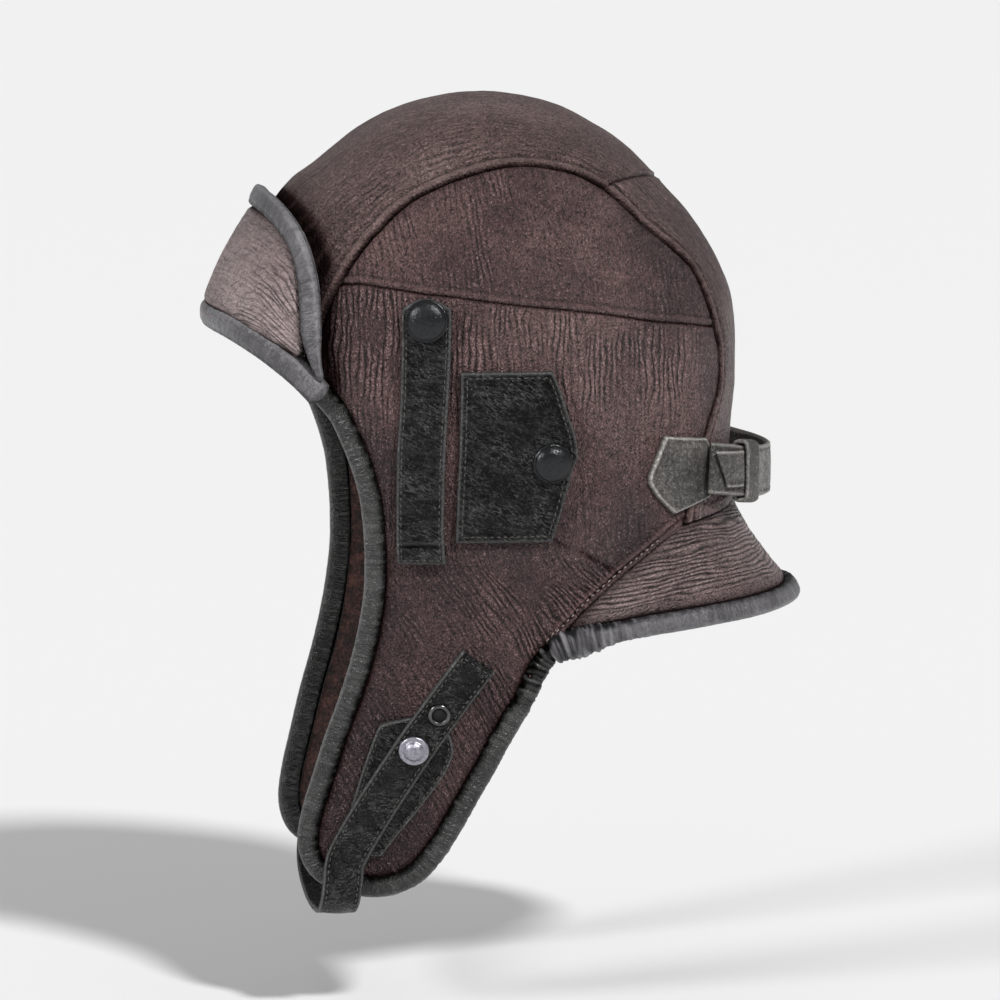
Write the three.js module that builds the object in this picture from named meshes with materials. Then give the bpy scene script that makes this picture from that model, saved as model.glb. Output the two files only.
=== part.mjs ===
// Hooded leather helmet with ear flaps, turned-up visor and straps.
// Millimetres, +Z up, +X the wearer's left, -Y the front. The origin is the seat: the inside top of the crown.
import * as THREE from "three";

// ---- driving dimensions ----
const HINGE_Z = -95;          // level of the polar centre of the dome
const SECTION_POWER = 2.25;   // superellipse power of the head's cross-sections
const SEAM_GAP = 0.18;        // each panel stops this far short of the seam line
const LEATHER = 1.5;          // outer leather
const LINING_OUT = -2.1, LINING_IN = -3.7;   // fleece lining, as offsets from the outer surface
const VISOR_OUT = 8.0, VISOR_THICK = 2.8;    // visor's outer face stands this far off the crown
const EDGE_WIDTH = 8.2, EDGE_THICK = 5.6;    // rolled edge binding
const STRAP_WIDTH = 16.5, STRAP_THICK = 2.4; // chin strap
const BACK_WIDTH = 21.0, BACK_THICK = 3.0;   // strap round the nape
const SNAP_TOP_R = 8.6, SNAP_EAR_R = 8.0, SNAP_CHIN_R = 6.2;

// side silhouette of the crown: polar angle from the back (degrees), radius
const CROWN = [[-90, 105.4], [0, 105.4], [7, 105.2], [16, 102.8], [25, 100.2], [33, 98.3], [40, 97.0], [50, 97.4], [60, 97.9],
  [70, 98.6], [80, 98.7], [90, 98.7], [100, 98.2], [110, 97.9], [120, 97.3], [127, 96.8], [133, 97.2], [140, 99.2],
  [150, 100.6], [160, 102.2], [170, 105.0], [180, 108.0], [270, 108.0]];
// half width by level: z, half width
const HALF_WIDTH = [[-360, 50], [-340, 52], [-300, 59], [-250, 69], [-200, 77.5], [-150, 82.5], [-110, 84], [0, 84], [20, 84]];
const WIDTH_LEAN = 0.045;     // the head widens towards the back by this share over 110 mm
// back and front profile under the polar centre: z, distance from the axis
const BACK = [[-400, 106], [-200, 106], [-165, 104.6], [-145, 103.2], [-130, 103.8], [-115, 105.2], [-95, 105.4]];
const FRONT = [[-400, 113], [-200, 112], [-130, 110.5], [-95, 108]];
// centre strip: row coordinate at its edge, row coordinate on the mid line, half width
// row coordinate: polar angle over the dome (0 back, 180 front), and millimetres below the polar centre past either end
const CENTRE = [[182, 173.2, 62.6], [178.5, 170, 63.3], [175, 167, 63.9], [169, 162, 64.0], [163, 157, 64.0], [157, 152.4, 64.2], [153, 149.2, 64.3],
  [149, 146, 64.3], [142, 140, 64.2], [135, 134, 63.6], [127, 126.5, 62.8], [119, 119, 62.9], [111, 111, 63.2], [103, 103, 63.0],
  [95, 95, 62.4], [87, 86, 61.4], [79, 77, 60.5], [71, 67, 59.6], [63, 55, 58.2], [55.5, 41, 57.8], [48, 36, 58.0], [41, 31.5, 57.8],
  [34, 27, 56.6], [27, 22, 54.0], [20, 16.5, 51.4], [12, 10, 52.0], [8, 6.6, 51.6], [4, 3, 50.6], [-2, -2.5, 47.4], [-14.3, -14, 46.2],
  [-24.2, -24, 48.6], [-37.5, -36.5, 53.2], [-53.5, -51.5, 58.4], [-72.4, -67, 62.6]];
const CROSS_SEAM_ROW = 19;    // row of the table above where the front and back strips meet
const FRONT_MEET = 157, BACK_MEET = 4;       // edge rows where the side seam runs into the arc seam
// side seam: y, z
const SIDE_SEAM = [[-60, -68.2], [-55.7, -68], [-48.5, -69], [-40.8, -70], [-32, -71.4], [-20, -72.6], [-9.7, -74.1], [6.2, -76.2],
  [22.4, -78.1], [38.7, -80.1], [52, -82.4], [63, -84.4], [73.4, -85.9], [81, -87.2], [85.8, -88.2], [89.6, -88.7]];
// upper side panel: edge row on the arc seam, y of the point of the side seam paired with it
const UPPER_PAIRS = [[153, -60], [149, -55.7], [142, -49], [135, -41.5], [127, -33], [119, -24.5], [111, -16.5], [103, -8.5], [95, 0],
  [87, 9], [79, 18], [71, 27], [63, 36], [55.5, 45], [48, 53.5], [41, 61.5], [34, 68.5], [27, 75], [20, 81], [12, 85.8], [8, 88]];
// lower side panel and ear flap: front edge (row of the arc seam or y, z) and back edge (row of the arc seam or y, z)
const LOWER = [
  { f: 157, b: 4 }, { f: 163, b: -2 }, { f: 169, b: -14.3 }, { f: 175, b: -24.2 }, { f: 178.5, b: -37.5 },
  { f: 182, b: -53.5 }, { f: [-74.6, -100.6], b: -72.4 }, { f: [-70, -104.8], b: [65.2, -174.1] },
  { f: [-64.6, -111.8], b: [56.5, -180.4] }, { f: [-60.2, -118.2], b: [48, -186.6] }, { f: [-56.8, -126], b: [39.7, -193.8] },
  { f: [-53.7, -134], b: [31.5, -201.3] }, { f: [-50.6, -144], b: [25.2, -208.2] }, { f: [-48.4, -155], b: [20.2, -212.1] },
  { f: [-47, -168], b: [15.6, -215.6] }, { f: [-46.7, -186], b: [11.5, -221.5] }, { f: [-48.3, -203.3], b: [8.4, -229] },
  { f: [-50.9, -220.1], b: [5, -236.9] }, { f: [-55.3, -237], b: [-0.1, -246.2] }, { f: [-58.2, -246], b: [-4.7, -254.6] },
  { f: [-61, -254.1], b: [-8.9, -263.6] }, { f: [-65.9, -271.4], b: [-13.9, -272.8] }, { f: [-69.7, -284.4], b: [-18.8, -282.3] },
  { f: [-71.9, -295.2], b: [-24.1, -292.1] }, { f: [-71.5, -301.5], b: [-29.6, -300.7] }, { f: [-69.3, -306.3], b: [-35.1, -307.4] },
  { f: [-63.5, -310], b: [-42.2, -312] }];
// binding of the face edge and the ear flap: mid line y, z, and the way across it dy, dz towards the free edge
const EDGE = [[-69.6, -115, -0.67, -0.74], [-64.9, -121, -0.79, -0.61], [-61, -129.2, -0.87, -0.49], [-58, -136.6, -0.92, -0.38],
  [-55.2, -145, -0.95, -0.3], [-53.2, -153.4, -0.98, -0.2], [-52, -162, -0.99, -0.1], [-51.3, -171, -1, -0.03], [-51, -180, -1, 0],
  [-51.2, -191, -1, 0.03], [-52.8, -204.3, -0.99, 0.12], [-55.8, -219.8, -0.97, 0.22], [-60.3, -236.4, -0.95, 0.28],
  [-66, -254, -0.95, 0.27], [-70.8, -271.2, -0.96, 0.25], [-74.6, -285.2, -0.98, 0.14], [-76.3, -296.4, -1, -0.03],
  [-75.4, -303.6, -0.94, -0.34], [-72.2, -309.6, -0.72, -0.69], [-65.8, -314.2, -0.4, -0.92], [-57, -316.6, -0.15, -0.99],
  [-48.5, -317.2, 0.12, -0.99], [-40, -315.4, 0.42, -0.91], [-32.4, -311, 0.62, -0.79], [-26, -303.6, 0.8, -0.6],
  [-20.2, -294.4, 0.87, -0.5], [-14.8, -284, 0.89, -0.45], [-9.8, -274.2, 0.89, -0.45], [-4.8, -264.8, 0.88, -0.47],
  [-0.6, -256, 0.89, -0.45], [4, -247.4, 0.88, -0.47], [9.2, -238.2, 0.87, -0.5], [12.6, -230.8, 0.87, -0.5],
  [15.6, -224, 0.82, -0.57], [19.2, -218.8, 0.7, -0.71]];
// neck flap: seam x, y, z (on the head's surface) and lower edge x, y, z
const NECK = [[75.6, 25.4, -207.9, 75.9, 26.2, -209.1], [76, 31.5, -201.3, 75.4, 33, -208], [75.5, 39.7, -193.8, 74.2, 41, -206.6],
  [74.4, 48, -186.6, 72.4, 51, -205], [72.1, 56.5, -180.4, 70, 62, -203.6], [68.7, 65.2, -174.1, 67, 74, -202.4],
  [62.6, 75.6, -167.4, 63, 86, -201.2], [53, 84, -165.9, 56.6, 97.2, -200.4], [42, 92, -164.4, 46.8, 108.6, -199.8],
  [29, 98, -163.2, 33.6, 118.6, -199.4], [15, 102.5, -162.3, 18, 126, -199.2], [0, 104.6, -162, 0, 129.4, -199]];
const NECK_SINK = 2.2;        // the flap dips this much between its seam and its free edge at the nape
// binding of the neck flap: mid line x, y, z, and the way across it
const NECK_EDGE = [[74.4, 22.9, -215.8, 0.0, 0.4, -0.92], [74.9, 28, -213.8, 0, 0.2, -0.98], [74.6, 34.5, -212.5, 0, 0.1, -0.99],
  [74, 42, -210.9, 0, 0.05, -1], [72.2, 52, -209.2, 0.02, 0.06, -1], [70, 62.8, -207.8, 0.04, 0.1, -0.99],
  [67.2, 75, -206.6, 0.08, 0.16, -0.98], [63.3, 87.2, -205.4, 0.1, 0.24, -0.97], [57.2, 98.6, -204.6, 0.14, 0.3, -0.94],
  [47.6, 110.2, -204, 0.16, 0.36, -0.92], [34.4, 120.4, -203.5, 0.12, 0.4, -0.91], [18.4, 127.9, -203.2, 0.06, 0.44, -0.9],
  [0, 131.4, -202.9, 0, 0.47, -0.88]];
// visor: lower edge and free edge on its outer face x, y, z
const VISOR_LOW = [[0, -113.4, -81.4], [15, -112.2, -81.6], [30, -108.6, -82.6], [45, -101.6, -86], [55.5, -94.6, -90], [63.5, -86.6, -94.4],
  [68.6, -80.4, -98]];
const VISOR_TOP = [[0, -92.7, -42.8], [15.5, -91.8, -43], [34.5, -87.6, -45.6], [47, -84.2, -50.4], [55, -81.4, -56.6], [60, -80.4, -63.2],
  [63.4, -80, -71], [66, -79.9, -79], [68, -80, -86.5], [69.6, -79, -95]];
const VISOR_BULGE = 1.6;
const VISOR_EDGE = [[0, -90.6, -38.6, 0, 0.5, 0.87], [14, -89.8, -38.8, 0.1, 0.45, 0.88], [26, -88, -40.2, 0.3, 0.4, 0.87],
  [37, -85.6, -42.8, 0.45, 0.38, 0.8], [46.6, -82.8, -46.6, 0.6, 0.4, 0.69], [54.4, -80, -51.8, 0.68, 0.45, 0.58],
  [59.8, -78, -58.3, 0.7, 0.55, 0.45], [63.8, -76.6, -66, 0.66, 0.7, 0.25], [67, -76, -75, 0.6, 0.8, 0.1],
  [69.6, -75.9, -84.6, 0.55, 0.83, 0], [71.8, -75.2, -94, 0.52, 0.85, -0.05], [73.2, -73.8, -101, 0.5, 0.86, -0.1]];
// brow binding: mid line x, y, z
const BROW = [[0, -110.2, -87.2], [15, -109, -87.4], [30, -105.2, -88.6], [44, -98.8, -91.8], [54, -92, -96], [61, -85, -101.2],
  [66.2, -79, -106.4], [69, -75.2, -109.8]];
const BROW_HEIGHT = 8.6, BROW_DEPTH = 8.6;
// goggle strap keeper, ear cover, chin tab and nape tab, on the head's surface: z, back-to-front limits y0, y1
const GOGGLE = [[-73.2, -32, -29.2], [-75, -36.2, -24.6], [-78.4, -40, -20.9], [-92, -40.3, -21.2], [-105.5, -40.6, -21.8],
  [-120, -41.2, -22.6], [-134, -42.1, -23.3], [-150, -42.4, -23.7], [-165, -42.4, -23.9], [-179.6, -41.9, -23.0]];
const EAR_COVER = [[-102.2, -17.6, 18.9], [-110, -17.6, 22.2], [-119.6, -17.8, 25.2], [-129, -18, 28.3], [-136.5, -18.2, 29.4],
  [-141, -18.4, 27.8], [-152, -18.8, 24.8], [-162, -19.1, 22], [-171, -19.4, 19.3]];
const CHIN_TAB = [[-243.6, -37, -33], [-247, -48, -26], [-252, -50.2, -19.6], [-257.5, -52, -18.6], [-264, -54, -20.2],
  [-272, -56.2, -24.6], [-280, -58.2, -30], [-288, -60.6, -35.8], [-296, -62.8, -41.6], [-303, -64, -46.6]];
const BACK_TAB = [{ f: [66, -130.7], b: [84.8, -133.6] }, { f: [62.4, -139], b: [86.2, -137] }, { f: [59.2, -147.9], b: [87, -144] },
  { f: [61.9, -153.8], b: [87.2, -151] }, { f: [70.5, -163], b: [86.6, -158.4] }];
// straps as mid lines
const CHIN_RUN = [[-9.6, -218.4, 5.6], [-17.2, -229.4, 5.0], [-24.6, -240.8, 4.6], [-31, -250.6, 4.4], [-37, -260.4, 4.4], [-43, -270.6, 4.4],
  [-49.2, -281.6, 4.4], [-55, -292.6, 4.5], [-60, -304, 4.8]];   // y, z, stand-off, on the left flap
const CHIN_RIGHT_TOP = 3;     // the right run starts this many rows lower, sewn to its tab
const CHIN_CROSS = [[53.2, -62.4, -314, 1, 0, -0.05], [51.4, -63.2, -321.4, 0.85, 0, -0.5], [46, -63.6, -326, 0.55, 0, -0.85],
  [37, -63.8, -328.8, 0.25, 0, -0.97], [26, -64, -330.4, 0.1, 0, -1], [13, -64, -331.6, 0.04, 0, -1], [0, -64, -332, 0, 0, -1]];   // x, y, z, facing
const NAPE_RUN = [[0, 120.6, -152], [17, 118, -151.8], [31, 111.6, -150.9], [43, 103.4, -149.2], [53.4, 93.9, -147], [59.6, 87, -145.6]];
const TAIL_RUN = [[47, 99.9, -148], [51.6, 95.8, -147.4], [56.2, 90.9, -146.6]], TAIL_WIDTH = 15, TAIL_THICK = 1.5, TAIL_SLANT = 0.6;
const LOOP_X = 41, LOOP_LONG = 11, LOOP_THICK = 2.2;

// ---- table look-up: smooth, without overshoot ----
function look(table, at, column = 1) {
  const up = table[table.length - 1][0] > table[0][0];
  const t = up ? table : [...table].reverse();
  if (at <= t[0][0]) return t[0][column];
  if (at >= t[t.length - 1][0]) return t[t.length - 1][column];
  let i = 0;
  while (at > t[i + 1][0]) i++;
  const slope = (a, b) => (t[b][column] - t[a][column]) / (t[b][0] - t[a][0]);
  const blend = (a, b) => (a * b <= 0 ? 0 : (2 * a * b) / (a + b));
  const here = slope(i, i + 1), h = t[i + 1][0] - t[i][0];
  const m0 = i > 0 ? blend(slope(i - 1, i), here) : here;
  const m1 = i < t.length - 2 ? blend(here, slope(i + 1, i + 2)) : here;
  const s = (at - t[i][0]) / h, s2 = s * s, s3 = s2 * s;
  return (2 * s3 - 3 * s2 + 1) * t[i][column] + (s3 - 2 * s2 + s) * h * m0 + (3 * s2 - 2 * s3) * t[i + 1][column] + (s3 - s2) * h * m1;
}

// ---- the head's surface ----
const halfWidth = (y, z) => look(HALF_WIDTH, z) * (1 + (WIDTH_LEAN * y) / 110);
function reach(y, z) {   // 0 on the axis, 1 on the side silhouette
  if (z >= HINGE_Z) return Math.hypot(y, z - HINGE_Z) / look(CROWN, (Math.atan2(z - HINGE_Z, y) * 180) / Math.PI);
  return y > 0 ? y / look(BACK, z) : -y / look(FRONT, z);
}
const level = (x, y, z) => Math.pow(Math.abs(x) / halfWidth(y, z), SECTION_POWER) + Math.pow(reach(y, z), SECTION_POWER);
function normal(p) {
  const e = 0.6;
  const n = new THREE.Vector3(level(p.x + e, p.y, p.z) - level(p.x - e, p.y, p.z), level(p.x, p.y + e, p.z) - level(p.x, p.y - e, p.z),
    level(p.x, p.y, p.z + e) - level(p.x, p.y, p.z - e));
  return n.normalize();
}
function onSide(y, z) {
  const q = Math.min(reach(y, z), 0.9995);
  return new THREE.Vector3(halfWidth(y, z) * Math.pow(1 - Math.pow(q, SECTION_POWER), 1 / SECTION_POWER), y, z);
}
function onRow(row, x) {   // a point of the dome from its row coordinate and x
  let y = 0, z = HINGE_Z;
  for (let k = 0; k < 6; k++) {
    const q = Math.pow(Math.max(1 - Math.pow(Math.abs(x) / halfWidth(y, z), SECTION_POWER), 0), 1 / SECTION_POWER);
    if (row < 0) { z = HINGE_Z + row; y = q * look(BACK, z); }
    else if (row > 180) { z = HINGE_Z - (row - 180); y = -q * look(FRONT, z); }
    else { const a = (row * Math.PI) / 180, r = q * look(CROWN, row); y = r * Math.cos(a); z = HINGE_Z + r * Math.sin(a); }
  }
  return new THREE.Vector3(x, y, z);
}
const arcSeam = (row) => onRow(row, look(CENTRE, row, 2));
const V = (a) => new THREE.Vector3(a[0], a[1], a[2]);

// ---- solids from grids and sweeps ----
function solid(points, faces) {
  let volume = 0;
  for (const [a, b, c] of faces) volume += points[a].dot(new THREE.Vector3().crossVectors(points[b], points[c]));
  const index = [];
  for (const [a, b, c] of faces) index.push(...(volume < 0 ? [a, c, b] : [a, b, c]));
  const g = new THREE.BufferGeometry();
  g.setAttribute("position", new THREE.Float32BufferAttribute(points.flatMap((p) => [p.x, p.y, p.z]), 3));
  g.setIndex(index);
  g.computeVertexNormals();
  return g;
}
function inset(grid, gap) {   // pulls the four edges of a grid in
  const g = grid.map((row) => row.map((p) => p.clone()));
  const R = g.length, C = g[0].length;
  const pull = (p, q) => p.addScaledVector(new THREE.Vector3().subVectors(q, p).normalize(), gap);
  for (let j = 0; j < C; j++) { pull(g[0][j], grid[1][j]); pull(g[R - 1][j], grid[R - 2][j]); }
  for (let i = 0; i < R; i++) { pull(g[i][0], grid[i][1]); pull(g[i][C - 1], grid[i][C - 2]); }
  return g;
}
function shell(grid, normals, high, low, gap = SEAM_GAP) {
  const g = gap ? inset(grid, gap) : grid;
  const R = g.length, C = g[0].length, N = R * C, points = [];
  for (const off of [high, low]) for (let i = 0; i < R; i++) for (let j = 0; j < C; j++) points.push(g[i][j].clone().addScaledVector(normals[i][j], off));
  const id = (i, j, s) => s * N + i * C + j, faces = [];
  for (let i = 0; i < R - 1; i++) for (let j = 0; j < C - 1; j++) {
    faces.push([id(i, j, 0), id(i, j + 1, 0), id(i + 1, j + 1, 0)], [id(i, j, 0), id(i + 1, j + 1, 0), id(i + 1, j, 0)]);
    faces.push([id(i, j, 1), id(i + 1, j + 1, 1), id(i, j + 1, 1)], [id(i, j, 1), id(i + 1, j, 1), id(i + 1, j + 1, 1)]);
  }
  const rim = [];
  for (let j = 0; j < C - 1; j++) rim.push([0, j]);
  for (let i = 0; i < R - 1; i++) rim.push([i, C - 1]);
  for (let j = C - 1; j > 0; j--) rim.push([R - 1, j]);
  for (let i = R - 1; i > 0; i--) rim.push([i, 0]);
  rim.forEach(([i, j], k) => {
    const [i2, j2] = rim[(k + 1) % rim.length];
    faces.push([id(i, j, 0), id(i2, j2, 1), id(i2, j2, 0)], [id(i, j, 0), id(i, j, 1), id(i2, j2, 1)]);
  });
  return solid(points, faces);
}
function sweep(stations, section, closed = false) {   // stations: { at, across, out }, section: pairs (across, out)
  const n = stations.length, m = section.length, points = [], faces = [];
  for (const s of stations) for (const [a, o] of section) points.push(s.at.clone().addScaledVector(s.across, a).addScaledVector(s.out, o));
  for (let i = 0; i < (closed ? n : n - 1); i++) for (let k = 0; k < m; k++) {
    const a = i * m + k, b = i * m + ((k + 1) % m), c = ((i + 1) % n) * m + k, d = ((i + 1) % n) * m + ((k + 1) % m);
    faces.push([a, b, d], [a, d, c]);
  }
  if (!closed) for (const [i, flip] of [[0, true], [n - 1, false]]) for (let k = 1; k < m - 1; k++) {
    const t = [i * m, i * m + k, i * m + k + 1];
    faces.push(flip ? [t[0], t[2], t[1]] : t);
  }
  return solid(points, faces);
}
const oval = (w, t, sides = 6) => Array.from({ length: sides }, (_, k) => {
  const a = (k * 2 * Math.PI) / sides, c = Math.cos(a), s = Math.sin(a);
  return [(w / 2) * 1.04 * Math.sign(c) * Math.pow(Math.abs(c), 0.8), (t / 2) * 1.04 * Math.sign(s) * Math.pow(Math.abs(s), 0.8)];
});
const bar = (w, t) => [[-w / 2, -t / 2], [w / 2, -t / 2], [w / 2, t / 2], [-w / 2, t / 2]];

// ---- grids on the head ----
const mix = (a, b, t) => a + (b - a) * t;
const normalsOf = (grid) => grid.map((row) => row.map(normal));
function centreGrid(first, last, columns) {
  return CENTRE.slice(first, last + 1).map(([edge, mid, half]) => Array.from({ length: columns + 1 }, (_, j) => {
    const u = (2 * j) / columns - 1;
    return onRow(mix(mid, edge, Math.abs(u) ** (edge > 120 ? 3.2 : 1.8)), u * half);
  }));
}
const yz = (v) => (Array.isArray(v) ? v : [arcSeam(v).y, arcSeam(v).z]);
function upperGrid(rows) {
  return UPPER_PAIRS.map(([row, by]) => {
    const [ay, az] = yz(row), bz = seamZ(by);
    return Array.from({ length: rows + 1 }, (_, j) => (j === 0 ? arcSeam(row) : onSide(mix(ay, by, j / rows), mix(az, bz, j / rows))));
  });
}
function seamZ(y) { return look(SIDE_SEAM, y); }
function lowerGrid(columns, pairs = LOWER, top = true) {
  return pairs.map(({ f, b }, i) => {
    const [fy, fz] = yz(f), [by, bz] = yz(b), [ty, tz] = yz(pairs[0].f), [uy, uz] = yz(pairs[0].b);
    return Array.from({ length: columns + 1 }, (_, j) => {
      const t = 1 - (1 - j / columns) ** 1.25, y = mix(fy, by, t);
      let z = mix(fz, bz, t);
      if (top) { const y0 = mix(ty, uy, t); z += (j === 0 || j === columns ? 0 : seamZ(y0) - mix(tz, uz, t)) * Math.max(0, 1 - i / 6) ** 1.5; }
      return onSide(y, z);
    });
  });
}
function wholeSideGrid(columns, extra) {   // lower panel rows, with rows above them up to the arc seam for the lining
  const low = lowerGrid(columns);
  const tops = Array.from({ length: columns + 1 }, (_, j) => arcSeam(mix(FRONT_MEET, BACK_MEET, 1 - (1 - j / columns) ** 1.25)));
  const head = Array.from({ length: extra }, (_, k) => tops.map((p, j) => {
    const t = k / extra, q = low[0][j];
    return k === 0 ? p.clone() : onSide(mix(p.y, q.y, t), mix(p.z, q.z, t));
  }));
  return [...head, ...low];
}
function tableGrid(table, columns, stand = 0) {
  return table.map(([z, y0, y1]) => Array.from({ length: columns + 1 }, (_, j) => onSide(mix(y0, y1, j / columns), z)));
}
function neckGrid(rows) {
  const half = NECK.map(([sx, sy, sz, lx, ly, lz]) => {
    let s;
    if (sy > 76) { const half = Math.abs(sx); s = onRow(mix(-67, -72.4, (half / 62.6) ** 1.8), half); } else s = onSide(sy, sz);
    const l = new THREE.Vector3(lx, ly, lz), flare = Math.max(0, (sy - 60) / 45);
    return Array.from({ length: rows + 1 }, (_, k) => {
      const t = k / rows, p = s.clone().lerp(l, t);
      p.y -= NECK_SINK * 4 * t * (1 - t) * flare;
      return p;
    });
  });
  const other = half.slice(0, -1).map((row) => row.map((p) => new THREE.Vector3(-p.x, p.y, p.z)));
  return [...half, ...other.reverse()];
}
function gridNormals(grid) {   // from the grid itself, for faces that leave the head
  const R = grid.length, C = grid[0].length;
  return grid.map((row, i) => row.map((p, j) => {
    const a = new THREE.Vector3().subVectors(grid[Math.min(i + 1, R - 1)][j], grid[Math.max(i - 1, 0)][j]);
    const b = new THREE.Vector3().subVectors(grid[i][Math.min(j + 1, C - 1)], grid[i][Math.max(j - 1, 0)]);
    const n = a.cross(b).normalize();
    return n.dot(new THREE.Vector3(p.x, p.y - 10, 0)) < 0 ? n.negate() : n;
  }));
}
const curveThrough = (rows) => new THREE.CatmullRomCurve3(rows.map(V), false, "centripetal");
const mirrored = (rows, signs) => [...rows.slice(1).reverse().map((r) => r.map((v, k) => v * signs[k])), ...rows];
function visorGrid(columns, rows) {
  const low = curveThrough(mirrored(VISOR_LOW, [-1, 1, 1])), top = curveThrough(mirrored(VISOR_TOP, [-1, 1, 1]));
  return Array.from({ length: columns + 1 }, (_, i) => {
    const s = mix(0.012, 0.988, i / columns), a = low.getPointAt(s), b = top.getPointAt(s);
    const out = new THREE.Vector3(a.x * 0.9, a.y, 55).normalize();
    return Array.from({ length: rows + 1 }, (_, k) => {
      const t = k / rows;
      return a.clone().lerp(b, t).addScaledVector(out, VISOR_BULGE * 4 * t * (1 - t) * Math.min(1, a.distanceTo(b) / 30));
    });
  });
}

// ---- stations along edges and straps ----
function along(rows, acrossOf, outOf, count) {
  const c = curveThrough(rows.map((r) => r.slice(0, 3)));
  return Array.from({ length: count + 1 }, (_, i) => {
    const s = i / count, at = c.getPointAt(s), t = c.getTangentAt(s);
    const key = c.getUtoTmapping(s) * (rows.length - 1), k = Math.min(Math.floor(key), rows.length - 2), f = key - k;
    const across = acrossOf(k, f, at, t);
    across.addScaledVector(t, -across.dot(t)).normalize();
    const out = new THREE.Vector3().crossVectors(t, across).normalize(), want = outOf(k, f, at);
    if (out.dot(want) < 0) out.negate();
    return { at, across, out };
  });
}
function edgeStations(count) {
  const mid = -(LEATHER + 0.6 + 1.6) / 2 + 0.1;   // the binding wraps leather and lining, so its mid line lies inside
  const rows = EDGE.map(([y, z]) => { const p = onSide(y, z); return p.addScaledVector(normal(p), mid).toArray(); });
  return along(rows, (k, f) => {
    const a = EDGE[k], b = EDGE[k + 1], y = mix(a[0], b[0], f), z = mix(a[1], b[1], f), dy = mix(a[2], b[2], f), dz = mix(a[3], b[3], f);
    return onSide(y + dy, z + dz).sub(onSide(y, z)).normalize();
  }, (k, f) => normal(onSide(mix(EDGE[k][0], EDGE[k + 1][0], f), mix(EDGE[k][1], EDGE[k + 1][1], f))), count);
}
const wayOf = (rows) => (k, f) => new THREE.Vector3(mix(rows[k][3], rows[k + 1][3], f), mix(rows[k][4], rows[k + 1][4], f), mix(rows[k][5], rows[k + 1][5], f)).normalize();
const outward = (lift = 0) => (k, f, at) => new THREE.Vector3(at.x, at.y, lift).normalize();

// ---- assembly ----
const brown = [0.30, 0.215, 0.195], nearBlack = [0.045, 0.042, 0.04], charcoal = [0.13, 0.13, 0.135], fleece = [0.15, 0.075, 0.06];
function finish(colour, roughness = 0.55, metalness = 0) {
  return new THREE.MeshStandardMaterial({ color: new THREE.Color(...colour), roughness, metalness, side: THREE.FrontSide });
}
const group = new THREE.Group();
function add(name, geometry, material) {
  const mesh = new THREE.Mesh(geometry, material);
  mesh.name = name;
  group.add(mesh);
  return mesh;
}
function flipX(geometry) {
  const g = geometry.clone(), p = g.attributes.position, ix = g.index;
  for (let i = 0; i < p.count; i++) p.setX(i, -p.getX(i));
  for (let i = 0; i < ix.count; i += 3) { const b = ix.getX(i + 1); ix.setX(i + 1, ix.getX(i + 2)); ix.setX(i + 2, b); }
  g.computeVertexNormals();
  return g;
}
function addPair(name, geometry, material) {
  add(name + "_L", geometry, material());
  add(name + "_R", flipX(geometry), material());
}

// crown
const leather = () => finish(brown, 0.55);
const front = centreGrid(0, CROSS_SEAM_ROW, 8), back = centreGrid(CROSS_SEAM_ROW, CENTRE.length - 1, 8);
add("crown_centre_front", shell(front, normalsOf(front), 0, -LEATHER), leather());
add("crown_centre_back", shell(back, normalsOf(back), 0, -LEATHER), leather());
const upper = upperGrid(4), lower = lowerGrid(10);
addPair("side_upper", shell(upper, normalsOf(upper), 0, -LEATHER, 0.3), leather);
addPair("side_lower", shell(lower, normalsOf(lower), 0, -LEATHER), leather);
const neck = neckGrid(3);
add("neck_flap", shell(neck, gridNormals(neck), 0, -LEATHER), leather());

// lining
const wool = () => finish(fleece, 0.95);
const whole = centreGrid(0, CENTRE.length - 1, 8), wholeSide = wholeSideGrid(10, 3);
add("lining_centre", shell(whole, normalsOf(whole), LINING_OUT, LINING_IN, 0.5), wool());
addPair("lining_side", shell(wholeSide, normalsOf(wholeSide), LINING_OUT, LINING_IN, 0.5), wool);
add("lining_neck", shell(neck, gridNormals(neck), LINING_OUT, LINING_IN, 0.9), wool());

// visor
const visor = visorGrid(24, 4);
const visorNormals = gridNormals(visor);
add("visor", shell(visor, visorNormals, 0, -VISOR_THICK, 0), leather());
const trim = () => finish(charcoal, 0.6);
const visorEdge = mirrored(VISOR_EDGE, [-1, 1, 1, -1, 1, 1]);
add("visor_binding", sweep(along(visorEdge, wayOf(visorEdge), (k, f, at) => new THREE.Vector3(at.x, at.y, 50), 40), oval(7.2, 5.4)), trim());
const brow = mirrored(BROW, [-1, 1, 1]);
add("brow_binding", sweep(along(brow, () => new THREE.Vector3(0, 0, 1), outward(), 30), oval(BROW_HEIGHT, BROW_DEPTH)), trim());
const edgeRun = edgeStations(52);
addPair("edge_binding", sweep(edgeRun, oval(EDGE_WIDTH, EDGE_THICK)), trim);
const neckEdge = mirrored([...NECK_EDGE].reverse(), [-1, 1, 1, -1, 1, 1]);
add("neck_binding", sweep(along(neckEdge, wayOf(neckEdge), outward(), 36), oval(7.6, EDGE_THICK)), trim());

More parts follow.
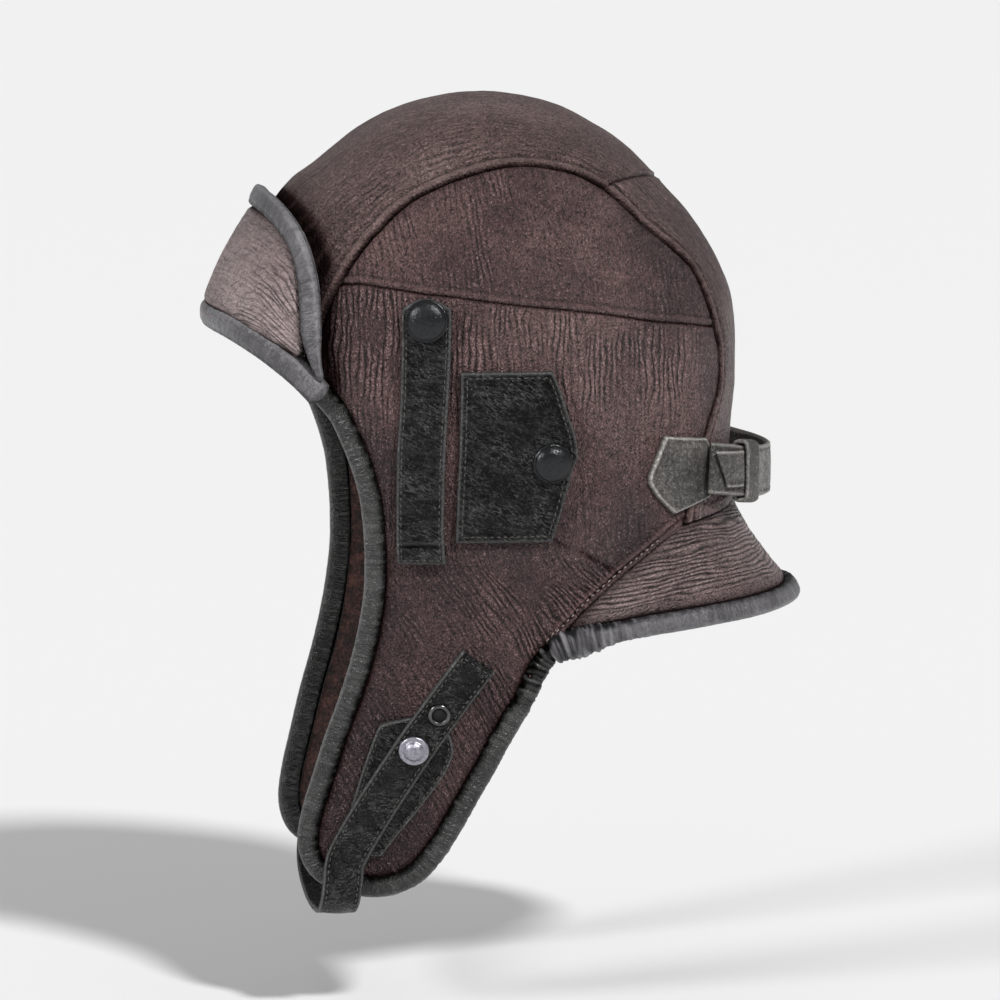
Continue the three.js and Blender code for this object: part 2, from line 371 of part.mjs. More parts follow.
// fittings on the head
const black = () => finish(nearBlack, 0.35);
const lift = (grid, a, b) => shell(grid, normalsOf(grid), a, b, 0);
addPair("goggle_strap", lift(tableGrid(GOGGLE, 3), 3.8, 0.6), black);
addPair("ear_cover", lift(tableGrid(EAR_COVER, 5), 3.4, 0.6), black);
addPair("chin_tab", lift(tableGrid(CHIN_TAB, 3), 2.5, 0.5), black);
addPair("back_tab", lift(lowerGrid(3, BACK_TAB, false), 2.4, 0.5), black);
function cap(radius, height, y, z, stand) {
  const steps = 4, profile = [new THREE.Vector2(0, 0), new THREE.Vector2(radius * 0.9, 0)];
  for (let k = 0; k <= steps; k++) {
    const a = (k / steps) * (Math.PI / 2);
    profile.push(new THREE.Vector2(k === steps ? 0 : radius * Math.cos(a), 0.7 + (height - 0.7) * Math.sin(a)));
  }
  const g = new THREE.LatheGeometry(profile, 16), p = onSide(y, z), n = normal(p);
  g.applyQuaternion(new THREE.Quaternion().setFromUnitVectors(new THREE.Vector3(0, 1, 0), n));
  p.addScaledVector(n, stand);
  g.translate(p.x, p.y, p.z);
  return g;
}
const snapBlack = () => finish([0.03, 0.03, 0.03], 0.25, 0.1);
function capPair(name, ...size) {
  add(name + "_L", cap(...size), snapBlack());
  const g = cap(...size), s = new THREE.Matrix4().makeScale(-1, 1, 1);
  g.applyMatrix4(s);
  const ix = g.index;
  for (let i = 0; i < ix.count; i += 3) { const b = ix.getX(i + 1); ix.setX(i + 1, ix.getX(i + 2)); ix.setX(i + 2, b); }
  add(name + "_R", g, snapBlack());
}
capPair("goggle_snap", SNAP_TOP_R, 4.0, -30.4, -82, 4.6);
capPair("ear_snap", SNAP_EAR_R, 4.0, 18.6, -138.8, 4.2);

// chin strap: free end on the left flap, down and under the chin, up to its tab on the right flap
const onFlap = ([y, z, stand]) => { const p = onSide(y, z), n = normal(p); return { p: p.addScaledVector(n, stand), n }; };
const leftRun = CHIN_RUN.map(onFlap), cross = CHIN_CROSS.map((r) => ({ p: V(r), n: new THREE.Vector3(r[3], r[4], r[5]) }));
const other = ({ p, n }) => ({ p: new THREE.Vector3(-p.x, p.y, p.z), n: new THREE.Vector3(-n.x, n.y, n.z) });
const route = [...leftRun, ...cross, ...cross.slice(0, -1).reverse().map(other), ...leftRun.slice(CHIN_RIGHT_TOP).reverse().map(other)];
function ribbon(route, count, width, thick) {
  const rows = route.map((r) => r.p.toArray());
  const facing = (k, f) => route[k].n.clone().lerp(route[k + 1].n, f).normalize();
  return sweep(along(rows, (k, f, at, t) => new THREE.Vector3().crossVectors(facing(k, f), t), facing, count), bar(width, thick));
}
add("chin_strap", ribbon(route, 56, STRAP_WIDTH, STRAP_THICK), black());
add("chin_snap", cap(SNAP_CHIN_R, 3.4, -34.2, -255.8, 6.1), finish([0.45, 0.45, 0.48], 0.25, 1));
{
  const ring = new THREE.LatheGeometry([[2.9, 0], [4.3, 0], [4.3, 0.6], [3.7, 1.1], [2.9, 0.6], [2.9, 0]].map((v) => new THREE.Vector2(...v)), 20);
  const { p, n } = onFlap([-24.6, -240.8, 6.25]);
  ring.applyQuaternion(new THREE.Quaternion().setFromUnitVectors(new THREE.Vector3(0, 1, 0), n));
  ring.translate(p.x, p.y, p.z);
  add("chin_eyelet", ring, finish([0.2, 0.2, 0.2], 0.3, 1));
}

// strap round the nape and its keeper
const nape = mirrored(NAPE_RUN, [-1, 1, 1]);
const napeStations = along(nape, () => new THREE.Vector3(0, 0, 1), outward(), 30);
add("back_strap", sweep(napeStations, bar(BACK_WIDTH, BACK_THICK)), black());
{
  const near = napeStations.reduce((a, b) => (Math.abs(b.at.x - LOOP_X) < Math.abs(a.at.x - LOOP_X) ? b : a));
  const run = new THREE.Vector3().crossVectors(near.across, near.out).normalize();
  const h = BACK_WIDTH / 2 + 0.6, d = BACK_THICK / 2 + 0.6, T = LOOP_THICK;
  const outline = new THREE.Shape([[-h - T, -d - T], [h + T, -d - T], [h + T, d + T], [-h - T, d + T]].map((v) => new THREE.Vector2(...v)));
  outline.holes.push(new THREE.Path([[-h, -d], [h, -d], [h, d], [-h, d]].map((v) => new THREE.Vector2(...v))));
  const g = new THREE.ExtrudeGeometry(outline, { depth: LOOP_LONG, bevelEnabled: false });
  g.translate(0, 0, -LOOP_LONG / 2);
  g.applyMatrix4(new THREE.Matrix4().makeBasis(near.across, near.out, new THREE.Vector3().crossVectors(near.across, near.out)));
  g.translate(near.at.x, near.at.y, near.at.z);
  add("back_loop", g, black());
}
{   // the strap's free end, lying on its outer side ahead of the keeper, with a slanted tip
  const lift = BACK_THICK / 2 + TAIL_THICK / 2 + 0.12;
  const stations = along(TAIL_RUN, () => new THREE.Vector3(0, 0, 1), outward(), 6);
  stations.forEach((s, i) => {
    const run = new THREE.Vector3().crossVectors(s.out, s.across).normalize();
    if (run.x < 0) run.negate();
    s.at = s.at.clone().addScaledVector(s.out, lift);
    s.across = s.across.clone().addScaledVector(run, TAIL_SLANT * Math.max(0, i - 2) / (stations.length - 3));
  });
  add("back_strap_tail", sweep(stations, bar(TAIL_WIDTH, TAIL_THICK)), black());
}

export default group;
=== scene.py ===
import bpy
import math
import numpy as np
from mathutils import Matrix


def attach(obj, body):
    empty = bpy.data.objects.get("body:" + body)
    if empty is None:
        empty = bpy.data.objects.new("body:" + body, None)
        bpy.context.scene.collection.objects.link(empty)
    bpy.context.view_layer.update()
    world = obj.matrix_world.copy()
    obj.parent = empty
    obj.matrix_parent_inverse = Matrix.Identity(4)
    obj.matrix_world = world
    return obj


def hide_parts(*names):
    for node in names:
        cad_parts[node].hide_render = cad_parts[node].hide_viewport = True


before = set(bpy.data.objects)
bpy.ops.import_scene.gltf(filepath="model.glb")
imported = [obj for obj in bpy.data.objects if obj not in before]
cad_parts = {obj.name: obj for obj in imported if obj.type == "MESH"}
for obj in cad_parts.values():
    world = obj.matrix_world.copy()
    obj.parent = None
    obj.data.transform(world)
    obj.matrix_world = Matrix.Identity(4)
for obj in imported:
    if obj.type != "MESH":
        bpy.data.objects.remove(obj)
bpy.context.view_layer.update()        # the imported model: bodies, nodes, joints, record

# ---------------------------------------------------------------------------------------------------------------------
# Sizes, in millimetres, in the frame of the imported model: +Z up, +X the wearer's left, -Y the front
# ---------------------------------------------------------------------------------------------------------------------
HINGE_Z = -95.0
POWER = 2.25
LEATHER = 1.5
LINING_OUT, LINING_IN = -2.1, -3.7
CROWN = [[-90, 105.4], [0, 105.4], [7, 105.2], [16, 102.8], [25, 100.2], [33, 98.3], [40, 97.0], [50, 97.4], [60, 97.9],
         [70, 98.6], [80, 98.7], [90, 98.7], [100, 98.2], [110, 97.9], [120, 97.3], [127, 96.8], [133, 97.2], [140, 99.2],
         [150, 100.6], [160, 102.2], [170, 105.0], [180, 108.0], [270, 108.0]]
HALF_WIDTH = [[-360, 50], [-340, 52], [-300, 59], [-250, 69], [-200, 77.5], [-150, 82.5], [-110, 84], [0, 84], [20, 84]]
BACK = [[-400, 106], [-200, 106], [-165, 104.6], [-145, 103.2], [-130, 103.8], [-115, 105.2], [-95, 105.4]]
FRONT = [[-400, 113], [-200, 112], [-130, 110.5], [-95, 108]]
CENTRE = [[182, 173.2, 62.6], [178.5, 170, 63.3], [175, 167, 63.9], [169, 162, 64.0], [163, 157, 64.0], [157, 152.4, 64.2],
          [153, 149.2, 64.3], [149, 146, 64.3], [142, 140, 64.2], [135, 134, 63.6], [127, 126.5, 62.8], [119, 119, 62.9],
          [111, 111, 63.2], [103, 103, 63.0], [95, 95, 62.4], [87, 86, 61.4], [79, 77, 60.5], [71, 67, 59.6], [63, 55, 58.2],
          [55.5, 41, 57.8], [48, 36, 58.0], [41, 31.5, 57.8], [34, 27, 56.6], [27, 22, 54.0], [20, 16.5, 51.4], [12, 10, 52.0],
          [8, 6.6, 51.6], [4, 3, 50.6], [-2, -2.5, 47.4], [-14.3, -14, 46.2], [-24.2, -24, 48.6], [-37.5, -36.5, 53.2],
          [-53.5, -51.5, 58.4], [-72.4, -67, 62.6]]
CROSS_SEAM_ROW = 19
SIDE_SEAM = [[-63.6, -68.4], [-60, -68.2], [-55.7, -68], [-48.5, -69], [-40.8, -70], [-32, -71.4], [-20, -72.6], [-9.7, -74.1],
             [6.2, -76.2], [22.4, -78.1], [38.7, -80.1], [52, -82.4], [63, -84.4], [73.4, -85.9], [81, -87.2], [85.8, -88.2],
             [89.9, -88.8]]
UPPER_PAIRS = [[157, -63.6], [153, -60], [149, -55.7], [142, -49], [135, -41.5], [127, -33], [119, -24.5], [111, -16.5],
               [103, -8.5], [95, 0], [87, 9], [79, 18], [71, 27], [63, 36], [55.5, 45], [48, 53.5], [41, 61.5], [34, 68.5],
               [27, 75], [20, 81], [12, 85.8], [8, 88], [4, 89.9]]
LOWER = [(157, 4), (163, -2), (169, -14.3), (175, -24.2), (178.5, -37.5), (182, -53.5), ((-74.6, -100.6), -72.4),
         ((-70, -104.8), (65.2, -174.1)), ((-64.6, -111.8), (56.5, -180.4)), ((-60.2, -118.2), (48, -186.6)),
         ((-56.8, -126), (39.7, -193.8)), ((-53.7, -134), (31.5, -201.3)), ((-50.6, -144), (25.2, -208.2)),
         ((-48.4, -155), (20.2, -212.1)), ((-47, -168), (15.6, -215.6)), ((-46.7, -186), (11.5, -221.5)),
         ((-48.3, -203.3), (8.4, -229)), ((-50.9, -220.1), (5, -236.9)), ((-55.3, -237), (-0.1, -246.2)),
         ((-58.2, -246), (-4.7, -254.6)), ((-61, -254.1), (-8.9, -263.6)), ((-65.9, -271.4), (-13.9, -272.8)),
         ((-69.7, -284.4), (-18.8, -282.3)), ((-71.9, -295.2), (-24.1, -292.1)), ((-71.5, -301.5), (-29.6, -300.7)),
         ((-69.3, -306.3), (-35.1, -307.4)), ((-63.5, -310), (-42.2, -312))]
EDGE = [[-69.6, -115, -0.67, -0.74], [-64.9, -121, -0.79, -0.61], [-61, -129.2, -0.87, -0.49], [-58, -136.6, -0.92, -0.38],
        [-55.2, -145, -0.95, -0.3], [-53.2, -153.4, -0.98, -0.2], [-52, -162, -0.99, -0.1], [-51.3, -171, -1, -0.03],
        [-51, -180, -1, 0], [-51.2, -191, -1, 0.03], [-52.8, -204.3, -0.99, 0.12], [-55.8, -219.8, -0.97, 0.22],
        [-60.3, -236.4, -0.95, 0.28], [-66, -254, -0.95, 0.27], [-70.8, -271.2, -0.96, 0.25], [-74.6, -285.2, -0.98, 0.14],
        [-76.3, -296.4, -1, -0.03], [-75.4, -303.6, -0.94, -0.34], [-72.2, -309.6, -0.72, -0.69], [-65.8, -314.2, -0.4, -0.92],
        [-57, -316.6, -0.15, -0.99], [-48.5, -317.2, 0.12, -0.99], [-40, -315.4, 0.42, -0.91], [-32.4, -311, 0.62, -0.79],
        [-26, -303.6, 0.8, -0.6], [-20.2, -294.4, 0.87, -0.5], [-14.8, -284, 0.89, -0.45], [-9.8, -274.2, 0.89, -0.45],
        [-4.8, -264.8, 0.88, -0.47], [-0.6, -256, 0.89, -0.45], [4, -247.4, 0.88, -0.47], [9.2, -238.2, 0.87, -0.5],
        [12.6, -230.8, 0.87, -0.5], [15.6, -224, 0.82, -0.57], [19.2, -218.8, 0.7, -0.71]]
NECK = [[75.6, 25.4, -207.9, 75.9, 26.2, -209.1], [76, 31.5, -201.3, 75.4, 33, -208], [75.5, 39.7, -193.8, 74.2, 41, -206.6],
        [74.4, 48, -186.6, 72.4, 51, -205], [72.1, 56.5, -180.4, 70, 62, -203.6], [68.7, 65.2, -174.1, 67, 74, -202.4],
        [62.6, 75.6, -167.4, 63, 86, -201.2], [53, 84, -165.9, 56.6, 97.2, -200.4], [42, 92, -164.4, 46.8, 108.6, -199.8],
        [29, 98, -163.2, 33.6, 118.6, -199.4], [15, 102.5, -162.3, 18, 126, -199.2], [0, 104.6, -162, 0, 129.4, -199]]
NECK_SINK = 2.2
NECK_EDGE = [[74.4, 22.9, -215.8, 0.0, 0.4, -0.92], [74.9, 28, -213.8, 0, 0.2, -0.98], [74.6, 34.5, -212.5, 0, 0.1, -0.99],
             [74, 42, -210.9, 0, 0.05, -1], [72.2, 52, -209.2, 0.02, 0.06, -1], [70, 62.8, -207.8, 0.04, 0.1, -0.99],
             [67.2, 75, -206.6, 0.08, 0.16, -0.98], [63.3, 87.2, -205.4, 0.1, 0.24, -0.97], [57.2, 98.6, -204.6, 0.14, 0.3, -0.94],
             [47.6, 110.2, -204, 0.16, 0.36, -0.92], [34.4, 120.4, -203.5, 0.12, 0.4, -0.91], [18.4, 127.9, -203.2, 0.06, 0.44, -0.9],
             [0, 131.4, -202.9, 0, 0.47, -0.88]]
VISOR_LOW = [[0, -113.4, -81.4], [15, -112.2, -81.6], [30, -108.6, -82.6], [45, -101.6, -86], [55.5, -94.6, -90], [63.5, -86.6, -94.4],
             [68.6, -80.4, -98]]
VISOR_TOP = [[0, -92.7, -42.8], [15.5, -91.8, -43], [34.5, -87.6, -45.6], [47, -84.2, -50.4], [55, -81.4, -56.6], [60, -80.4, -63.2],
             [63.4, -80, -71], [66, -79.9, -79], [68, -80, -86.5], [69.6, -79, -95]]
VISOR_BULGE = 1.6
VISOR_EDGE = [[0, -90.6, -38.6, 0, 0.5, 0.87], [14, -89.8, -38.8, 0.1, 0.45, 0.88], [26, -88, -40.2, 0.3, 0.4, 0.87],
              [37, -85.6, -42.8, 0.45, 0.38, 0.8], [46.6, -82.8, -46.6, 0.6, 0.4, 0.69], [54.4, -80, -51.8, 0.68, 0.45, 0.58],
              [59.8, -78, -58.3, 0.7, 0.55, 0.45], [63.8, -76.6, -66, 0.66, 0.7, 0.25], [67, -76, -75, 0.6, 0.8, 0.1],
              [69.6, -75.9, -84.6, 0.55, 0.83, 0], [71.8, -75.2, -94, 0.52, 0.85, -0.05], [73.2, -73.8, -101, 0.5, 0.86, -0.1], [74.0, -72.4, -106.5, 0.5, 0.86, -0.1]]
BROW = [[0, -110.2, -87.2], [15, -109, -87.4], [30, -105.2, -88.6], [44, -98.8, -91.8], [54, -92, -96], [61, -85, -101.2],
        [66.2, -79, -106.4], [69.4, -75, -110.4], [71.6, -71.6, -114.2]]
GOGGLE = [[-73.2, -32, -29.2], [-75, -36.2, -24.6], [-78.4, -40, -20.9], [-92, -40.3, -21.2], [-105.5, -40.6, -21.8],
          [-120, -41.2, -22.6], [-134, -42.1, -23.3], [-150, -42.4, -23.7], [-165, -42.4, -23.9], [-179.6, -41.9, -23.0]]
EAR_COVER = [[-102.2, -17.6, 18.9], [-110, -17.6, 22.2], [-119.6, -17.8, 25.2], [-129, -18, 28.3], [-136.5, -18.2, 29.4],
             [-141, -18.4, 27.8], [-152, -18.8, 24.8], [-162, -19.1, 22], [-171, -19.4, 19.3]]
CHIN_TAB = [[-243.6, -37, -33], [-247, -48, -26], [-252, -50.2, -19.6], [-257.5, -52, -18.6], [-264, -54, -20.2],
            [-272, -56.2, -24.6], [-280, -58.2, -30], [-288, -60.6, -35.8], [-296, -62.8, -41.6], [-303, -64, -46.6]]
BACK_TAB = [((66, -130.7), (84.8, -133.6)), ((62.4, -139), (86.2, -137)), ((59.2, -147.9), (87, -144)),
            ((61.9, -153.8), (87.2, -151)), ((70.5, -163), (86.6, -158.4))]
CHIN_RUN = [[-9.6, -218.4, 5.6], [-17.2, -229.4, 5.0], [-24.6, -240.8, 4.6], [-31, -250.6, 4.4], [-37, -260.4, 4.4],
            [-43, -270.6, 4.4], [-49.2, -281.6, 4.4], [-55, -292.6, 4.5], [-60, -304, 4.8]]
CHIN_RIGHT_TOP = 3
CHIN_CROSS = [[53.2, -62.4, -314, 1, 0, -0.05], [51.4, -63.2, -321.4, 0.85, 0, -0.5], [46, -63.6, -326, 0.55, 0, -0.85],
              [37, -63.8, -328.8, 0.25, 0, -0.97], [26, -64, -330.4, 0.1, 0, -1], [13, -64, -331.6, 0.04, 0, -1],
              [0, -64, -332, 0, 0, -1]]
NAPE_RUN = [[0, 120.6, -152], [17, 118, -151.8], [31, 111.6, -150.9], [43, 103.4, -149.2], [53.4, 93.9, -147], [59.6, 87, -145.6]]
STRAP_WIDTH, STRAP_THICK = 16.5, 2.4
BACK_WIDTH, BACK_THICK = 21.0, 3.0
LOOP_X, LOOP_LONG, LOOP_THICK = 41.0, 11.0, 2.0


# ---------------------------------------------------------------------------------------------------------------------
# Numbers: table look-up, noise, the head's surface
# ---------------------------------------------------------------------------------------------------------------------
def look(table, at, column=1):
    t = np.array([[r[0], r[column]] for r in table], float)
    if t[0, 0] > t[-1, 0]:
        t = t[::-1]
    h = np.diff(t[:, 0])
    d = np.diff(t[:, 1]) / h
    m = np.zeros(len(t))
    m[0], m[-1] = d[0], d[-1]
    both = d[:-1] * d[1:]
    with np.errstate(divide="ignore", invalid="ignore"):
        m[1:-1] = np.where(both > 0, 2 * both / (d[:-1] + d[1:]), 0.0)
    x = np.clip(np.asarray(at, float), t[0, 0], t[-1, 0])
    i = np.clip(np.searchsorted(t[:, 0], x, side="right") - 1, 0, len(h) - 1)
    s = (x - t[i, 0]) / h[i]
    s2, s3 = s * s, s * s * s
    return (2 * s3 - 3 * s2 + 1) * t[i, 1] + (s3 - 2 * s2 + s) * h[i] * m[i] + (3 * s2 - 2 * s3) * t[i + 1, 1] + (s3 - s2) * h[i] * m[i + 1]


def by_index(values, at):
    return look([[i, v] for i, v in enumerate(values)], at)


seeded = np.random.RandomState(11)
PERM = seeded.permutation(256)
GRAD = seeded.normal(size=(256, 3))
GRAD /= np.linalg.norm(GRAD, axis=1, keepdims=True)


def noise(p):
    p = np.asarray(p, float)
    i = np.floor(p).astype(np.int64)
    f = p - i
    u = f * f * f * (f * (f * 6 - 15) + 10)
    out = np.zeros(p.shape[:-1])
    for a in (0, 1):
        ha = PERM[(i[..., 0] + a) & 255]
        wa = u[..., 0] if a else 1 - u[..., 0]
        for b in (0, 1):
            hb = PERM[(ha + i[..., 1] + b) & 255]
            wb = u[..., 1] if b else 1 - u[..., 1]
            for c in (0, 1):
                g = GRAD[PERM[(hb + i[..., 2] + c) & 255]]
                wc = u[..., 2] if c else 1 - u[..., 2]
                out += wa * wb * wc * ((f[..., 0] - a) * g[..., 0] + (f[..., 1] - b) * g[..., 1] + (f[..., 2] - c) * g[..., 2])
    return out * 1.7


def layered(p, octaves=3):
    return sum(noise(p * 2 ** k + 17.3 * k) / 2 ** k for k in range(octaves))


def crease(p, octaves=2):   # sharp valleys between soft pillows
    return sum((np.abs(noise(p * 2 ** k + 9.1 * k)) * 2 - 0.45) / 2 ** k for k in range(octaves))


def half_width(y, z):
    return look(HALF_WIDTH, z) * (1 + 0.045 * y / 110)


def reach(y, z):
    y, z = np.asarray(y, float), np.asarray(z, float)
    polar = np.hypot(y, z - HINGE_Z) / look(CROWN, np.degrees(np.arctan2(z - HINGE_Z, y)))
    return np.where(z >= HINGE_Z, polar, np.where(y > 0, y / look(BACK, z), -y / look(FRONT, z)))


def level(p):
    return (np.abs(p[..., 0]) / half_width(p[..., 1], p[..., 2])) ** POWER + reach(p[..., 1], p[..., 2]) ** POWER


def normal(p):
    e, out = 0.8, np.zeros(p.shape)
    for k in range(3):
        d = np.zeros(3)
        d[k] = e
        out[..., k] = level(p + d) - level(p - d)
    return out / np.linalg.norm(out, axis=-1, keepdims=True)


def on_side(y, z):
    y, z = np.asarray(y, float), np.asarray(z, float)
    q = np.minimum(reach(y, z), 0.9995)
    return np.stack([half_width(y, z) * (1 - q ** POWER) ** (1 / POWER), y, z], axis=-1)


def on_row(row, x):
    row, x = np.broadcast_arrays(np.asarray(row, float), np.asarray(x, float))
    y, z = np.zeros(row.shape), np.full(row.shape, HINGE_Z)
    a = np.radians(row)
    for _ in range(7):
        q = np.maximum(1 - (np.abs(x) / half_width(y, z)) ** POWER, 0) ** (1 / POWER)
        r = q * look(CROWN, np.clip(row, 0, 180))
        zb, zf = HINGE_Z + row, HINGE_Z - (row - 180)
        y = np.where(row < 0, q * look(BACK, zb), np.where(row > 180, -q * look(FRONT, zf), r * np.cos(a)))
        z = np.where(row < 0, zb, np.where(row > 180, zf, HINGE_Z + r * np.sin(a)))
    return np.stack([x, y, z], axis=-1)


def arc_seam(row):
    return on_row(row, look(CENTRE, row, 2))


def unit(v):
    return v / np.maximum(np.linalg.norm(v, axis=-1, keepdims=True), 1e-9)


def smooth(rows, count):   # centripetal spline through rows, sampled evenly by length; returns points and the row coordinate
    p = np.asarray(rows, float)
    ends = np.vstack([2 * p[0] - p[1], p, 2 * p[-1] - p[-2]])
    out, key = [], []
    for i in range(len(p) - 1):
        q0, q1, q2, q3 = ends[i:i + 4]
        t0 = 0.0
        t1 = t0 + np.linalg.norm(q1[:3] - q0[:3]) ** 0.5
        t2 = t1 + np.linalg.norm(q2[:3] - q1[:3]) ** 0.5
        t3 = t2 + np.linalg.norm(q3[:3] - q2[:3]) ** 0.5
        for s in np.linspace(0, 1, 24, endpoint=False):
            t = t1 + s * (t2 - t1)
            a1 = (t1 - t) / (t1 - t0) * q0 + (t - t0) / (t1 - t0) * q1
            a2 = (t2 - t) / (t2 - t1) * q1 + (t - t1) / (t2 - t1) * q2
            a3 = (t3 - t) / (t3 - t2) * q2 + (t - t2) / (t3 - t2) * q3
            b1 = (t2 - t) / (t2 - t0) * a1 + (t - t0) / (t2 - t0) * a2
            b2 = (t3 - t) / (t3 - t1) * a2 + (t - t1) / (t3 - t1) * a3
            out.append((t2 - t) / (t2 - t1) * b1 + (t - t1) / (t2 - t1) * b2)
            key.append(i + s)
    out.append(p[-1])
    key.append(len(p) - 1.0)
    out, key = np.array(out), np.array(key)
    run = np.concatenate([[0], np.cumsum(np.linalg.norm(np.diff(out[:, :3], axis=0), axis=1))])
    at = np.linspace(0, run[-1], count + 1)
    return np.stack([np.interp(at, run, out[:, k]) for k in range(out.shape[1])], axis=1), np.interp(at, run, key)


def length_of(points):
    return float(np.linalg.norm(np.diff(points[:, :3], axis=0), axis=1).sum())


def resample(points, step):
    run = np.concatenate([[0], np.cumsum(np.linalg.norm(np.diff(points, axis=0), axis=1))])
    at = np.linspace(0, run[-1], max(int(round(run[-1] / step)), 2) + 1)
    return np.stack([np.interp(at, run, points[:, k]) for k in range(3)], axis=1)


def distance(grid, line):   # nearest distance from each grid point to a polyline, and the run along it there
    line = resample(line, 0.6)
    run = np.concatenate([[0], np.cumsum(np.linalg.norm(np.diff(line, axis=0), axis=1))])
    flat = grid.reshape(-1, 3)
    best, where = np.empty(len(flat)), np.empty(len(flat))
    a, d = line[:-1], np.diff(line, axis=0)
    dd = (d * d).sum(1)
    for k in range(0, len(flat), 1500):
        p = flat[k:k + 1500]
        near = ((p[:, None, :] - line[None, :, :]) ** 2).sum(2).argmin(1)
        for first in (True, False):
            seg = np.clip(near - (1 if first else 0), 0, len(a) - 1)
            t = np.clip(((p - a[seg]) * d[seg]).sum(1) / dd[seg], 0, 1)
            dist = np.linalg.norm(p - a[seg] - t[:, None] * d[seg], axis=1)
            r = run[seg] + t * np.sqrt(dd[seg])
            if first:
                best[k:k + 1500], where[k:k + 1500] = dist, r
            else:
                m = dist < best[k:k + 1500]
                best[k:k + 1500] = np.where(m, dist, best[k:k + 1500])
                where[k:k + 1500] = np.where(m, r, where[k:k + 1500])
    return best.reshape(grid.shape[:-1]), where.reshape(grid.shape[:-1])


def bump(d, at, width):
    return np.exp(-((d - at) / width) ** 2)


# ---------------------------------------------------------------------------------------------------------------------
# Meshes
# ---------------------------------------------------------------------------------------------------------------------
MM = 0.001
made = []


def build(name, verts, faces, material, replaces=(), flip=False, attributes=None):
    verts = np.asarray(verts, float).copy()
    if flip:
        verts[:, 0] *= -1
    faces = [np.asarray(f, np.int64) for f in (faces if isinstance(faces, (list, tuple)) else [faces])]
    vol = 0.0
    for f in faces:
        a = verts[f[:, 0]]
        for k in range(1, f.shape[1] - 1):
            vol += float((a * np.cross(verts[f[:, k]], verts[f[:, k + 1]])).sum())
    rows = []
    for f in faces:
        rows.extend((f[:, ::-1] if vol < 0 else f).tolist())
    me = bpy.data.meshes.new(name)
    me.from_pydata((verts * MM).tolist(), [], rows)
    me.polygons.foreach_set("use_smooth", np.ones(len(me.polygons), dtype=bool))
    fields = dict(attributes or {})
    for key in ("hide", "folds"):
        fields.setdefault(key, verts)
    for key, values in fields.items():
        values = np.asarray(values, np.float32)
        vector = key in ("hide", "folds")
        at = me.attributes.new(key, "FLOAT_VECTOR" if vector else "FLOAT", "POINT")
        at.data.foreach_set("vector" if vector else "value", (values * MM if vector else values).ravel())
    me.update()
    ob = bpy.data.objects.new(name, me)
    bpy.context.scene.collection.objects.link(ob)
    me.materials.append(material)
    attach(ob, "root")
    if replaces:
        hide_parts(*replaces)
    made.append(ob)
    return ob


def shell_faces(R, C):
    i, j = np.meshgrid(np.arange(R - 1), np.arange(C - 1), indexing="ij")
    a = (i * C + j).ravel()
    top = np.stack([a, a + 1, a + C + 1, a + C], axis=1)
    N = R * C
    low = np.stack([a, a + C, a + C + 1, a + 1], axis=1) + N
    rim = [(0, k) for k in range(C - 1)] + [(k, C - 1) for k in range(R - 1)] + [(R - 1, k) for k in range(C - 1, 0, -1)] + [(k, 0) for k in range(R - 1, 0, -1)]
    r = np.array([p[0] * C + p[1] for p in rim])
    nxt = np.roll(r, -1)
    side = np.stack([nxt, r, r + N, nxt + N], axis=1)
    return [top, low, side]


def shell(name, outer, inner, material, replaces=(), flip=False, attributes=None):
    R, C = outer.shape[:2]
    verts = np.concatenate([outer.reshape(-1, 3), inner.reshape(-1, 3)])
    flat = lambda k, v: v.reshape(-1, 3) if k in ("hide", "folds") else v.ravel()
    att = {k: np.concatenate([flat(k, v), flat(k, v)]) for k, v in (attributes or {}).items()}
    return build(name, verts, shell_faces(R, C), material, replaces, flip, att)


def tube(name, rings, material, replaces=(), flip=False, attributes=None, round_ends=True):   # rings: (n, m, 3)
    n, m = rings.shape[:2]
    i, k = np.meshgrid(np.arange(n - 1), np.arange(m), indexing="ij")
    a, b = (i * m + k).ravel(), (i * m + (k + 1) % m).ravel()
    side = np.stack([a, b, b + m, a + m], axis=1)
    verts = rings.reshape(-1, 3)
    att = {key: v.reshape(-1, 3) if key in ("hide", "folds") else v.ravel() for key, v in (attributes or {}).items()}
    faces = [side]
    centres, caps = [], []
    for end, ring in ((0, rings[0]), (n - 1, rings[-1])):
        c = len(verts) + len(centres)
        centres.append(ring.mean(0))
        ids = end * m + np.arange(m)
        nx = np.roll(ids, -1)
        tri = np.stack([np.full(m, c), nx, ids] if end == 0 else [np.full(m, c), ids, nx], axis=1)
        caps.append(tri)
    verts = np.concatenate([verts, np.array(centres)])
    att = {key: np.concatenate([v, [v[0], v[-1]]]) for key, v in att.items()}
    return build(name, verts, faces + caps, material, replaces, flip, att)


def joined(name, pieces, material, flip=False):   # pieces: list of (verts, faces)
    verts, quads, tris, n = [], [], [], 0
    for v, fs in pieces:
        for f in fs:
            (quads if f.shape[1] == 4 else tris).append(f + n)
        verts.append(v)
        n += len(v)
    faces = ([np.concatenate(quads)] if quads else []) + ([np.concatenate(tris)] if tris else [])
    return build(name, np.concatenate(verts), faces, material, (), flip)


def mix(a, b, t):
    return a + (b - a) * t


def ease(x):
    x = np.clip(x, 0, 1)
    return x * x * (3 - 2 * x)


def even(fn, lo, hi, step, count=None):   # parameters from lo to hi spaced evenly along the curve fn
    t = np.linspace(lo, hi, 500)
    run = np.concatenate([[0], np.cumsum(np.linalg.norm(np.diff(fn(t), axis=0), axis=1))])
    n = count or max(int(round(run[-1] / step)), 2)
    return np.interp(np.linspace(0, run[-1], n + 1), run, t)


def denser_ends(n, pull):
    s = np.linspace(0, 1, n + 1)
    return s - pull * np.sin(2 * np.pi * s) / (2 * np.pi)


